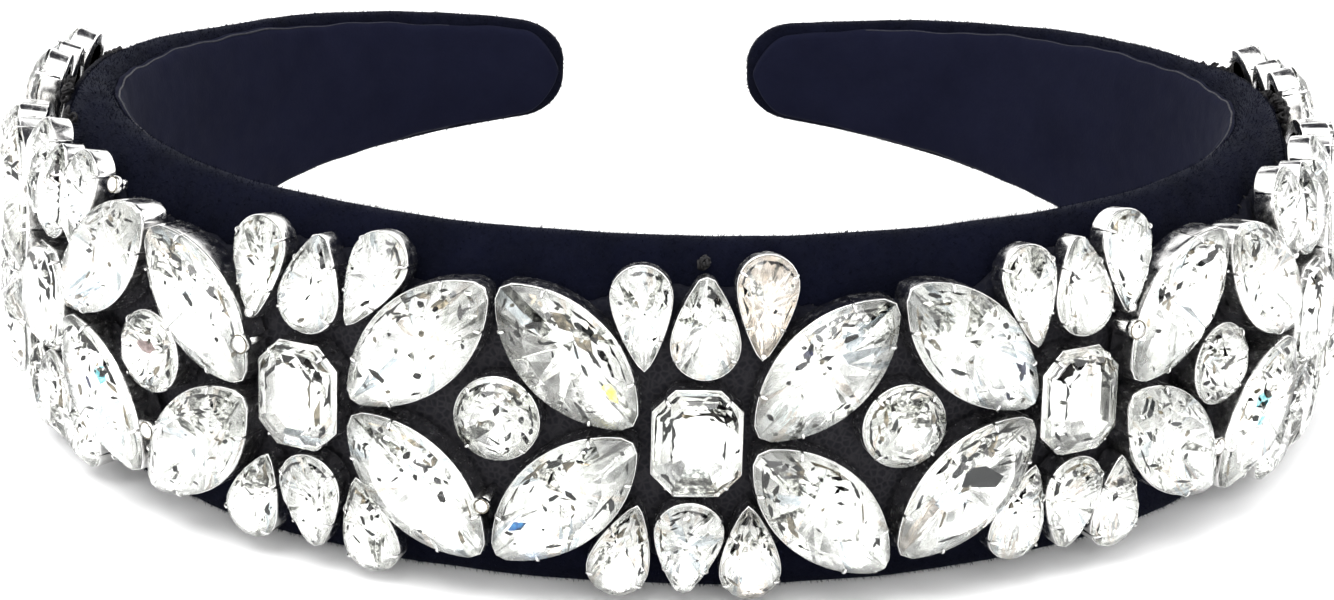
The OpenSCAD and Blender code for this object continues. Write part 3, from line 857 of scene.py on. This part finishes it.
def outline(cut, count):
    """count points round a stone, counter-clockwise from its top, or the octagon's 8 corners."""
    l, w = CUTS[cut][:2]
    if cut == OCTAGON:
        c, x, y = OCTAGON_CORNER, w / 2, l / 2
        half = [(x - c, y), (c - x, y), (-x, y - c), (-x, c - y)]
        return np.array(half + [(-a, -b) for a, b in half])
    if cut == MARQUISE:
        line = marquise_line(l, w)
    elif cut == ROUND:
        a = pi / 2 + np.linspace(0, 2 * pi, 121)[:-1]
        line = np.stack([w / 2 * np.cos(a), l / 2 * np.sin(a)], -1)
    else:
        line = pear_line(l, w, PEAR_TIPS[cut])
    return even(line, count)


def level(flat, z):
    """Flat points at a height."""
    return np.column_stack([flat, np.full(len(flat), z)])


def grown(rim, d):
    """Outline with each edge moved out by d."""
    before = rim - np.roll(rim, 1, axis=0)
    after = np.roll(rim, -1, axis=0) - rim

    def out(e):
        e = e / (np.linalg.norm(e, axis=1, keepdims=True) + 1e-12)
        return np.stack([e[:, 1], -e[:, 0]], -1)

    a, b = out(before), out(after)
    return rim + (a + b) * d / (1 + np.sum(a * b, axis=1, keepdims=True))


# Cut stones

# How far a stone's edge laps over its setting's wall.
SNUG = {MARQUISE: 0.38, ROUND: 0.24, OCTAGON: 0.06, PEAR: 0.24, BROAD_PEAR: 0.32}
MAINS = {MARQUISE: 12, ROUND: 8, PEAR: 10, BROAD_PEAR: 10}  # main facets of the crown
# Share of the outline that is table.
TABLES = {MARQUISE: 0.6, ROUND: 0.56, OCTAGON: 0.56, PEAR: 0.55, BROAD_PEAR: 0.55}
CULETS = {MARQUISE: (0.06, 0.3)}  # share of the outline's width and length where the pavilion ends
CULET_ELSE = (0.06, 0.12)
PER_MAIN = 4  # points of the girdle for each main facet
STAR, STAR_RISE = 0.8, 0.6  # where the star facets' points lie, as shares of the outline and of the crown
LOW_RING, LOW_DEPTH = 0.36, 0.78  # the same for the pavilion's lower ring
# The octagon's steps: inset from its outline, height over the girdle or depth under it.
OCTAGON_CROWN = [(0, 0), (0.55, 0.72), (1.15, 1.25), (1.95, 1.7)]
OCTAGON_PAVILION = [(0, 0), (0.8, 0.75), (1.7, 1.45), (2.5, 1.9), (3.0, 2.2)]


def brilliant(cut):
    """Points, faces and their kinds: 0 for the faces of the glass, 1 for those with foil behind them."""
    crown, girdle, pavilion = CUTS[cut][2:]
    mains, q = MAINS[cut], PER_MAIN
    count = mains * q
    rim = grown(outline(cut, count), SNUG[cut])
    corner, half = rim[::q], rim[q // 2::q]
    top = girdle_z(cut)
    low = top - girdle
    rings = [
        level(corner * TABLES[cut], top + crown),
        level(half * STAR, top + crown * STAR_RISE),
        level(rim, top),
        level(rim, low),
        level(half * LOW_RING, low - pavilion * LOW_DEPTH),
        level(corner * CULETS.get(cut, CULET_ELSE), low - pavilion),
    ]
    T, M, G, H, L, C = np.cumsum([0] + [len(r) for r in rings])[:-1].tolist()
    faces, kinds = [[T + i for i in range(mains)], [C + i for i in range(mains)][::-1]], [0, 1]
    for i in range(mains):
        j, b = (i + 1) % mains, (i - 1) % mains
        edge = [(i * q + k) % count for k in range(q + 1)]
        glass = [[T + i, M + i, T + j], [T + i, M + b, G + i * q, M + i]]
        glass += [[M + i, G + a, G + c] for a, c in zip(edge, edge[1:])]
        glass += [[G + a, H + a, H + c, G + c] for a, c in zip(edge, edge[1:])]
        foil = [[C + i, C + j, L + i], [C + i, L + i, H + i * q, L + b]]
        foil += [[L + i, H + c, H + a] for a, c in zip(edge, edge[1:])]
        faces += glass + foil
        kinds += [0] * len(glass) + [1] * len(foil)
    return np.vstack(rings), faces, kinds


def step_cut():
    """The octagon: concentric steps over and under the girdle."""
    rim, top = grown(outline(OCTAGON, 8), SNUG[OCTAGON]), girdle_z(OCTAGON)
    low = top - CUTS[OCTAGON][3]
    upper = [level(grown(rim, -d), top + z) for d, z in OCTAGON_CROWN]
    rings = upper[::-1] + [level(grown(rim, -d), low - z) for d, z in OCTAGON_PAVILION]
    faces, kinds = [list(range(8))], [0]
    for q in range(len(rings) - 1):
        for i in range(8):
            j = (i + 1) % 8
            faces.append([q * 8 + i, (q + 1) * 8 + i, (q + 1) * 8 + j, q * 8 + j])
            kinds.append(int(q >= len(upper)))
    last = (len(rings) - 1) * 8
    faces.append([last + i for i in range(8)][::-1])
    kinds.append(1)
    return np.vstack(rings), faces, kinds


SHAPES = {cut: step_cut() if cut == OCTAGON else brilliant(cut) for cut in CUTS}

# Painted flashes of split light, painted reflections and painted shade in some stones: place as shares of
# half its width and length, size, turn, foil, slimness.
FLASHES = {
    "marquise_12": [
        (0.28, -0.56, 3.0, 82, "yellow", 0.4), (0.62, 0.02, 4.2, 86, "brown", 0.42),
        (0.6, 0.32, 4.0, 98, "brown", 0.42), (0.55, -0.2, 3.0, 80, "dark", 0.14),
        (0.45, 0.4, 2.4, 100, "dark", 0.2),
    ],
    "marquise_11": [
        (-0.28, -0.5, 2.8, 80, "blue", 0.5), (-0.25, -0.66, 1.6, 70, "dark", 0.5),
        (0.62, 0.28, 5.0, 97, "dark", 0.07), (-0.6, 0.35, 2.0, 80, "brown", 0.5),
    ],
    "marquise_05": [
        (0.78, 0.08, 2.6, 86, "teal", 0.5), (0.42, 0.08, 2.2, 80, "navy", 0.4),
        (-0.1, 0.12, 1.8, 60, "brown", 0.6),
    ],
    "marquise_19": [(-0.7, 0.03, 3.0, 84, "teal", 0.45), (-0.5, -0.18, 1.8, 80, "teal", 0.4)],
    "marquise_15": [
        (-0.2, 0.2, 7.0, 44, "slate", 0.42), (-0.35, -0.22, 4.2, 60, "mist", 0.6),
        (-0.5, 0.45, 3.0, 70, "dark", 0.12),
    ],
    "marquise_16": [
        (0.29, -0.55, 2.8, 20, "navy", 0.35), (0.32, -0.5, 2.6, 80, "navy", 0.3),
        (0.0, -0.42, 3.4, 70, "mist", 0.55), (-0.3, -0.62, 2.2, 80, "navy", 0.25),
    ],
    "marquise_14": [
        (-0.76, -0.22, 2.2, 80, "mist", 0.5), (-0.72, -0.02, 1.4, 80, "navy", 0.5),
        (-0.62, 0.25, 3.6, 84, "dark", 0.14), (0.1, -0.34, 4.4, 60, "mist", 0.6),
        (-0.4, 0.1, 2.0, 60, "dark", 0.3),
    ],
    "marquise_09": [
        (0.42, 0.08, 1.2, 60, "dark", 0.6), (0.68, 0.08, 1.4, 80, "dark", 0.5),
        (0.55, -0.26, 1.8, 70, "dark", 0.4),
    ],
    "marquise_13": [
        (0.36, -0.66, 1.8, 70, "dark", 0.4), (0.4, 0.6, 2.2, 60, "brown", 0.5),
        (-0.25, 0.64, 1.6, 30, "dark", 0.4),
    ],
    "marquise_10": [(-0.32, 0.58, 2.4, 60, "brown", 0.5), (-0.25, -0.68, 1.2, 30, "slate", 0.8)],
    "round_02": [(0.3, 0.3, 3.4, 2, "rose", 0.5), (0.1, -0.1, 1.4, 40, "dark", 0.3)],
    "round_03": [
        (0.1, 0.38, 2.0, 70, "dark", 0.4), (-0.3, 0.0, 1.8, 20, "brown", 0.5),
        (0.4, -0.3, 1.6, 60, "slate", 0.4),
    ],
    "round_04": [
        (0.2, 0.7, 1.8, 10, "dark", 0.4), (0.3, -0.1, 2.4, 30, "mist", 0.5),
        (-0.4, 0.2, 1.8, 70, "slate", 0.4),
    ],
    "round_05": [
        (-0.35, 0.1, 2.6, 4, "slate", 0.35), (-0.35, 0.5, 2.4, 84, "dark", 0.3),
        (-0.1, 0.25, 2.2, 20, "dark", 0.25),
    ],
}
CREAMY = {(0, 1, 1): 1.0, (0, -1, -1): 0.35, (0, -1, 1): 0.35}  # share of cream foil in some pears
# Painted reflections: dark and dappled fragments laid under the crown.
FRAGMENTS = {  # how many fragments a stone has, their size
    MARQUISE: (40, 1.0), ROUND: (42, 0.85), OCTAGON: (20, 1.0), PEAR: (14, 0.65), BROAD_PEAR: (16, 0.7),
}
PAINTED_FRAGMENT_LOOKS = ["dark", "dark", "brown", "slate", "dappled", "dappled"]
# Two kinds of fragment: ranges of size and slimness, how far it turns from the edge's own direction.
DASH, CHIP, DASHES = ((1.1, 2.8), (0.14, 0.34), 0.25), ((0.45, 1.15), (0.4, 0.9), 0.8), 0.45
RIM_ZONE, INNER_ZONE, IN_RIM_ZONE = (0.66, 0.94), (0.15, 0.66), 0.84  # shares of the outline where they lie
# Looks of the painted shadow lines.
PAINTED_LINE_LOOKS = ["dark", "dark", "dark", "brown", "slate"]
# Painted shadow of the setting, as broken lines inside a stone's edge: chance of a run, least and greatest
# inset, width.
EDGE_LINES = [(0.6, (0.12, 0.3), 0.26)]
OCTAGON_LINES = [*EDGE_LINES, (0.75, (0.6, 1.0), 0.6), (0.6, (1.5, 1.85), 0.3)]
LINE_RUN, LINE_WAVER, LINE_END_W = (2, 8), 0.05, 0.02  # a run's steps, its unevenness, its ends' width
LINE_WIDTHS, LINE_WIDER = (0.3, 1.0), 0.6  # range of a run's width as a share, what is added up the stone
LINE_LIKELY, LINE_LIKELIER = 0.75, 0.5  # what its chance is multiplied by, what is added up the stone
UNDER = 0.25  # how far under the crown the fragments lie
FURTHEST = 0.95  # furthest share of the outline that they reach
# Chance of dappled foil, a painted uneven reflection: anywhere, and how much more toward the stone's upper
# edge.
PAINTED_DAPPLE = {MARQUISE: (0.03, 0.19), ROUND: (0.1, 0.4)}
PAINTED_DAPPLE_ELSE = (0.04, 0.32)
# Of the tints, mist is a painted pale grey-blue reflection.
TINTED_FROM = 0.9  # the draw from which an even foil takes a tint


def dome(cut, x, y, rim):
    """Height of the crown at a place, and how far out it lies as a share of the outline."""
    turns = np.arctan2(rim[:, 1], rim[:, 0])
    order = np.argsort(turns)
    reach = np.interp(atan2(y, x), turns[order], np.hypot(rim[:, 0], rim[:, 1])[order], period=2 * pi)
    share = hypot(x, y) / reach
    rise = np.interp(share, [TABLES[cut], STAR, 1], [1, STAR_RISE, 0])
    return girdle_z(cut) + CUTS[cut][2] * float(rise), share


def under_crown(heap, m, cut, rim, flat, faces, foil):
    """Painted reflection or shade: a form in one of the foil looks at flat places, laid just under the
    crown.
    """
    points = []
    for x, y in flat:
        z, share = dome(cut, x, y, rim)
        if share > FURTHEST:
            x, y = x * FURTHEST / share, y * FURTHEST / share
            z = dome(cut, x, y, rim)[0]
        points.append((x, y, z - UNDER))
    heap.add(placed(m, points), faces, FOIL_AND_PAINTED_LIGHT_SLOT[foil])


def shard(heap, m, cut, rim, x, y, size, turn, foil, rng, slim, fewest=4):
    """A painted fragment of reflection: a small polygon of up to three sides more than the fewest."""
    sides = int(rng.integers(fewest, fewest + 4))
    a = np.arange(sides) * 2 * pi / sides + rng.uniform(-0.3, 0.3, sides)
    r = rng.uniform(0.65, 1.0, sides) * size / 2
    u, v = r * np.cos(a), r * np.sin(a) * slim
    c, s = cos(turn), sin(turn)
    under_crown(heap, m, cut, rim, zip(x + u * c - v * s, y + u * s + v * c), [list(range(sides))], foil)


def rise_of(m):
    """Direction in a stone's plane that leads up the band."""
    rise = np.array(m)[2, :2]
    return rise / (np.linalg.norm(rise) + 1e-9)


def upward_share(p, rise):
    """1 where a place lies up the stone from its middle, and -1 where it lies down it."""
    return float(p @ rise) / (np.linalg.norm(p) + 1e-9)


def edge_lines(heap, m, cut, rim, rng, chance, inset, width):
    """Painted shadow of the setting, as a broken dark line inside the stone's edge: more of it on the upper
    side.
    """
    count, rise = len(rim), rise_of(m)
    inward = grown(rim, -1.0) - rim
    start, done = int(rng.integers(count)), 0
    while done < count:
        run = int(rng.integers(*LINE_RUN))
        at = (start + done + np.arange(run + 1)) % count
        done += run
        upward = upward_share(rim[at].mean(0), rise)
        if rng.random() > chance * (LINE_LIKELY + LINE_LIKELIER * upward):
            continue
        deep = rng.uniform(*inset) + rng.uniform(-LINE_WAVER, LINE_WAVER, run + 1)
        wide = rng.uniform(*LINE_WIDTHS, run + 1) * width * (1 + LINE_WIDER * max(0.0, upward))
        wide[0] = wide[-1] = LINE_END_W
        flat = np.vstack([rim[at] + inward[at] * d[:, None] for d in (deep, deep + wide)])
        faces = [[i, i + 1, run + i + 2, run + i + 1] for i in range(run)]
        under_crown(heap, m, cut, rim, flat, faces, rng.choice(PAINTED_LINE_LOOKS))


def fragments(heap, m, cut, rim, rng, shade):
    """Painted reflections: darker fragments gathered toward the stone's upper edge, a few elsewhere along
    its edge.
    """
    rise = rise_of(m)
    number, grain = FRAGMENTS[cut]
    anywhere = 0.6 if cut == ROUND else 0.2
    made = 0
    while made < number * shade:
        k = int(rng.integers(len(rim)))
        p, edge = rim[k], rim[(k + 1) % len(rim)] - rim[k - 1]
        if rng.random() > anywhere + (1 - anywhere) * max(0.0, upward_share(p, rise)):
            continue
        out = rng.uniform(*(RIM_ZONE if cut == OCTAGON or rng.random() < IN_RIM_ZONE else INNER_ZONE))
        sizes, slimness, astray = DASH if rng.random() < DASHES else CHIP
        size, slim = rng.uniform(*sizes), rng.uniform(*slimness)
        turn = atan2(edge[1], edge[0]) + rng.normal(0, astray)
        shard(heap, m, cut, rim, *(p * out), size * grain, turn, rng.choice(PAINTED_FRAGMENT_LOOKS), rng, slim)
        made += 1


def foil_choice(m, centres, rng, chance, cream):
    """A foil for each pavilion face: the dappled ones, painted uneven reflections, lie toward the stone's
    upper edge.
    """
    rise = rise_of(m)
    picks = []
    for c in centres:
        uneven = chance[0] + chance[1] * max(0.0, upward_share(c[:2], rise))
        r = rng.random()
        tint = rng.choice(["cream", "mist"])
        if r < uneven:
            picks.append("dappled")
        elif rng.random() < cream:
            picks.append("cream")
        else:
            picks.append(tint if r > TINTED_FROM else "bright")
    return picks


def stone(heap, place, seed, shade, cream=0.0, flashes=()):
    """One stone with its foil and its painted shade and reflections: edge lines, fragments and flashes.
    shade multiplies the fragments.
    """
    cut, m = place[0], seat(place)
    pts, faces, kinds = SHAPES[cut]
    rng = np.random.default_rng(seed)
    foil_faces = [i for i, k in enumerate(kinds) if k]
    centres = np.array([pts[faces[i]].mean(0) for i in foil_faces])
    chance = [min(shade, 1.0) * c for c in PAINTED_DAPPLE.get(cut, PAINTED_DAPPLE_ELSE)]
    chosen = dict(zip(foil_faces, foil_choice(m, centres, rng, chance, cream)))
    looks = [FOIL_AND_PAINTED_LIGHT_SLOT[chosen[i]] if i in chosen else 0 for i in range(len(faces))]
    heap.add(placed(m, pts), faces, looks)
    rim = even(outline(cut, 8), 60) if cut == OCTAGON else outline(cut, 60)
    for line in OCTAGON_LINES if cut == OCTAGON else EDGE_LINES:
        edge_lines(heap, m, cut, rim, rng, *line)
    fragments(heap, m, cut, rim, rng, shade)
    l, w = CUTS[cut][:2]
    for x, y, size, turn, foil, slim in flashes:
        shard(heap, m, cut, rim, x * w / 2, y * l / 2, size, radians(turn), foil, rng, slim, 3)


def finish_stones(heap, node):
    hand_in(heap.piece("cut_" + node, STONE_MATERIALS, smooth=False), node)


petal_places = [petal_place(g, x, y) for g in FLOWERS for x in (-1, 1) for y in (-1, 1)]
round_places = [middle_place(ROUND, g) for g in FLOWERS]
octagon_places = [middle_place(OCTAGON, g) for g in OCTAGONS]
SINGLES = [  # name of the nodes, places, first seed
    ("marquise", petal_places, 100), ("round", round_places, 200), ("octagon", octagon_places, 300),
]
for kind, places, seed in SINGLES:
    for i, place in enumerate(places):
        node, heap = f"{kind}_{i + 1:02d}", Heap()
        stone(heap, place, seed + i, 1.0, flashes=FLASHES.get(node, ()))
        finish_stones(heap, node)

pear_keys = {row: [(g, row, side) for g in OCTAGONS for side in (-1, 0, 1)] for row in (1, -1)}
# The low pears get twice the painted dark reflections of the high ones.
for row, node, row_shade in ((1, "pears_high", 0.7), (-1, "pears_low", 1.4)):
    heap = Heap()
    for i, key in enumerate(pear_keys[row]):
        cream = CREAMY.get(key, 0.0)
        stone(heap, pear_place(*key), 400 + 50 * row + i, 0.25 if cream == 1.0 else row_shade, cream)
    finish_stones(heap, node)

# Settings

CUP_POINTS = 44
# Where the two pairs of claws stand, along the stone as shares of its length.
CLAWS = {
    MARQUISE: (-0.33, 0.33), ROUND: (-0.36, 0.36), OCTAGON: (-0.42, 0.42), PEAR: (-0.33, 0.2),
    BROAD_PEAR: (-0.33, 0.2),
}
CLAW_R = 0.17
PROFILE_SNUG = 0.2  # the lap for which the profiles of cup and claw are written


def cup(cut):
    """A stamped cup with a rolled lip round the stone."""
    rim = outline(cut, CUP_POINTS)
    n = len(rim)
    high = girdle_z(cut) - CUTS[cut][3]
    profile = [  # distance outside the stone's outline, height
        (-1.2, 0.0), (0.1, 0.0), (0.25, 0.08), (0.32, 0.25), (0.33, high - 0.3), (0.35, high - 0.1),
        (0.33, high + 0.12), (0.28, high + 0.2), (0.23, high + 0.12), (0.22, high - 0.3), (0.2, 0.7),
        (0.0, 0.52), (-1.2, 0.5),
    ]
    pts = np.vstack([level(grown(rim, d + SNUG[cut] - PROFILE_SNUG), z) for d, z in profile])
    return pts, [f[::-1] for f in skin(len(profile), n).tolist()] + end_faces(len(profile), n)


def rim_hit(rim, y, side):
    """Point of the outline at height y on one side, and the direction out of it there."""
    for i in range(len(rim)):
        a, b = rim[i], rim[(i + 1) % len(rim)]
        if (a[1] <= y) != (b[1] <= y):
            k = (y - a[1]) / (b[1] - a[1])
            x = a[0] + k * (b[0] - a[0])
            if x * side > 0:
                return np.array([x, y]), atan2(a[0] - b[0], b[1] - a[1])
    raise ValueError("no outline there")


def claw(cut, share, side):
    """One rounded claw bent over the stone's edge."""
    l, _, crown, girdle, _ = CUTS[cut]
    spot, turn = rim_hit(outline(cut, 60), share * l, side)
    out = np.array([cos(turn), sin(turn)])
    top = girdle_z(cut)
    climb = crown * 0.62 / (spot @ out * 0.21)  # how steep the crown is by its edge
    bend = [  # distance outside the stone's outline, height, thickness
        (0.3, 0.4, 0.95), (0.33, top - girdle, 1), (0.32, top, 1), (0.27, top + 0.14, 1),
        (0.1, top + 0.26 + 0.1 * climb, 0.95), (-0.18, top + 0.2 + 0.3 * climb, 0.8),
        (-0.36, top + 0.14 + 0.44 * climb, 0.35),
    ]
    path = [(*(spot + (d + SNUG[cut] - PROFILE_SNUG) * out), z) for d, z, _ in bend]
    return tube(path, [CLAW_R * thick for _, _, thick in bend], 8, 0.5, up=(*out, 0.001))


def bead(centre, radii, rings=6, sides=10):
    """Closed rounded lump, such as the tip of a claw."""
    a = np.linspace(0, pi, rings + 1)[:, None]
    b = np.arange(sides) * 2 * pi / sides
    unit = np.stack([np.sin(a) * np.cos(b), np.sin(a) * np.sin(b), np.cos(a) + 0 * b], -1).reshape(-1, 3)
    return centre + unit * radii, skin(rings + 1, sides).tolist()


CUPS = {cut: cup(cut) for cut in CUTS}
CLAW_FORMS = {cut: [claw(cut, share, side) for share in CLAWS[cut] for side in (-1, 1)] for cut in CUTS}

# Rounded prong tips that show on pears: place along the stone as a share of half its length, radius.
PEAR_PRONGS = {
    (-2, 1, -1): (0.94, 0.6), (2, 1, 1): (0.94, 0.6), (0, 1, 1): (0.96, 0.35), (4, 1, -1): (0.9, 0.5),
    (-6, 1, 0): (0.9, 0.5),
}
PRONGS = [  # arc length and height up, radius of the head, height of the wire's foot over the stones' floor
    (-45.9, 5.0, 1.1, -2.5), (-58.4, -7.3, 1.05, -2.5), (45.1, 7.7, 1.1, -2.5), (58.2, -7.7, 1.05, -2.5),
    (-20.3, -7.4, 0.85, -2.5), (-65.1, 16.2, 0.95, 2.6),
]
# As shares of a head's radius: the wire's radius, half the head's height, its groove's radius and height.
WIRE_R, HEAD_HALF_H, GROOVE_REACH, GROOVE_UP = 0.55, 0.85, 0.86, 0.42
HEAD_LIFT, GROOVE_R = 0.3, 0.09  # height of a head's middle over the girdle, radius of the groove's tube


def prongs():
    """Prongs between the stones: each is a wire on the net that ends in a round head with a groove, the
    groove coloured as painted shade.
    """
    heap = Heap()
    a = np.linspace(0, 2 * pi, 25)
    circle = np.column_stack([np.cos(a), np.sin(a)])
    for s, up, size, foot in PRONGS:
        m, top = seat((ROUND, s, up, 0.0)), girdle_z(ROUND)
        wire = tube([(0, 0, foot), (0, 0, top)], size * WIRE_R, 12, up=(0, 1, 0))
        head = bead((0, 0, top + HEAD_LIFT), (size, size, size * HEAD_HALF_H), 10, 16)
        groove = tube(level(size * GROOVE_REACH * circle, top + HEAD_LIFT + size * GROOVE_UP), GROOVE_R, 6)
        for (pts, faces), kind in ((wire, 0), (head, 0), (groove, 1)):
            heap.add(placed(m, pts), faces, kind)
    # The grooves take the brown look, a painted shade round each head.
    hand_in(heap.piece("round_prongs", [SILVER, FOILS_AND_PAINTED_LIGHT["brown"]]))


def settings(name, node, places, keys=()):
    heap = Heap()
    for i, place in enumerate(places):
        cut, m = place[0], seat(place)
        forms = [CUPS[cut], *CLAW_FORMS[cut]]
        if keys and keys[i] in PEAR_PRONGS:
            along, size = PEAR_PRONGS[keys[i]]
            centre = (0, along * CUTS[cut][0] / 2, girdle_z(cut) + 0.15)
            forms.append(bead(centre, (size, size * 0.9, size * 0.8)))
        for pts, faces in forms:
            heap.add(placed(m, pts), faces)
    hand_in(heap.piece(name, [SILVER]), node)


settings("cups_marquise", "marquise_settings", petal_places)
settings("cups_round", "round_settings", round_places)
settings("cups_octagon", "octagon_settings", octagon_places)
settings("cups_pear_high", "pear_settings_high", [pear_place(*k) for k in pear_keys[1]], pear_keys[1])
settings("cups_pear_low", "pear_settings_low", [pear_place(*k) for k in pear_keys[-1]])
prongs()

# Floor, light and camera

FLOOR_REACH, FLOOR_LINES, FLOOR_Z = 4000.0, 24, -0.02


def floor():
    m, t = new_material("floor")
    surface(m, {
        "Base Color": ramp(t, noise(t, 300.0, 2), (0.93, 0.93, 0.935), (0.95, 0.95, 0.95)),
        "Roughness": spread(t, noise(t, 40.0, 2), 0.55, 0.65),
        "Specular IOR Level": 0.1,
    })
    g = np.linspace(-FLOOR_REACH, FLOOR_REACH, FLOOR_LINES)
    pts = [(x, y, FLOOR_Z) for y in g for x in g]
    faces = skin(FLOOR_LINES, FLOOR_LINES, closed=False).tolist()
    mesh_piece("studio_floor", pts, faces, [m], smooth=False)


def sky():
    """A white studio with dark patches above the horizon, which only the stones' reflections show."""
    world = bpy.data.worlds.new("studio")
    bpy.context.scene.world = world
    world.use_nodes = True
    t = world.node_tree
    place = add_node(t, "TexCoord", {}).outputs["Generated"]
    patches = add_node(t, "TexVoronoi", {"Vector": place, "Scale": 2.6}).outputs["Color"]
    chance = add_node(t, "SeparateColor", {"Color": patches}).outputs[0]
    above = spread(t, axis_z(t, place), 0, 1, 0.2, 0.26)
    dark = maths(t, "MULTIPLY", maths(t, "GREATER_THAN", chance, 0.76), above)
    colour = ramp(t, dark, (1, 1, 1), (0.02, 0.02, 0.025), (0.0, 1.0))
    feed(t, t.nodes["Background"], {"Color": colour, "Strength": 2.0})


def softbox(name, at, aim, size, power):
    data = bpy.data.lights.new(name, "AREA")
    data.shape = "RECTANGLE"
    data.size, data.size_y = size
    data.energy = power
    ob = bpy.data.objects.new(name, data)
    ob.location = at
    ob.rotation_euler = (Vector(aim) - Vector(at)).to_track_quat("-Z", "Y").to_euler()
    bpy.context.scene.collection.objects.link(ob)


# Camera fitted to the photograph: angles in degrees, lengths in metres, pixels of its 1334 x 600 frame.
ELEVATION, YAW, ROLL, DISTANCE = 18.7657, 2.4871, 1.5369, 0.478643
TARGET = Vector((0, 0.06 - CENTRE_Y * MM, 0.015))
FRAME_W, FRAME_H, FOCAL_PX, CENTRE_U, CENTRE_V = 1334, 600, 4173.53, 673.565, 273.467
SENSOR_W = 36  # millimetres


def camera():
    e, a, r = map(radians, (ELEVATION, YAW, ROLL))
    forward = Vector((sin(a) * cos(e), cos(a) * cos(e), -sin(e)))
    right = Vector((cos(a), -sin(a), 0))
    up = right.cross(forward)
    right, up = right * cos(r) + up * sin(r), up * cos(r) - right * sin(r)
    data = bpy.data.cameras.new("camera")
    data.sensor_width = SENSOR_W
    data.sensor_fit = "HORIZONTAL"
    data.lens = FOCAL_PX / FRAME_W * SENSOR_W
    data.shift_x = (FRAME_W / 2 - CENTRE_U) / FRAME_W
    data.shift_y = (CENTRE_V - FRAME_H / 2) / FRAME_W
    data.clip_start, data.clip_end = 0.01, 20
    ob = bpy.data.objects.new("camera", data)
    turn = Matrix((right, up, -forward)).transposed()
    ob.matrix_world = Matrix.Translation(TARGET - forward * DISTANCE) @ turn.to_4x4()
    bpy.context.scene.collection.objects.link(ob)
    bpy.context.scene.camera = ob


LIGHTS = [  # name, place, what it points at, width and height, all in metres, and watts
    ("key_light", (-0.25, -0.35, 0.75), (0, 0, 0.02), (0.7, 0.5), 6.0),
    ("fill_light", (0.6, 0.1, 0.5), (0, 0, 0.02), (0.5, 0.5), 2.0),
    ("front_light", (0.05, -0.75, 0.28), (0, -0.05, 0.0), (1.1, 0.3), 3.0),
]

floor()
sky()
for light in LIGHTS:
    softbox(*light)
camera()
bpy.context.scene.view_settings.view_transform = "Standard"
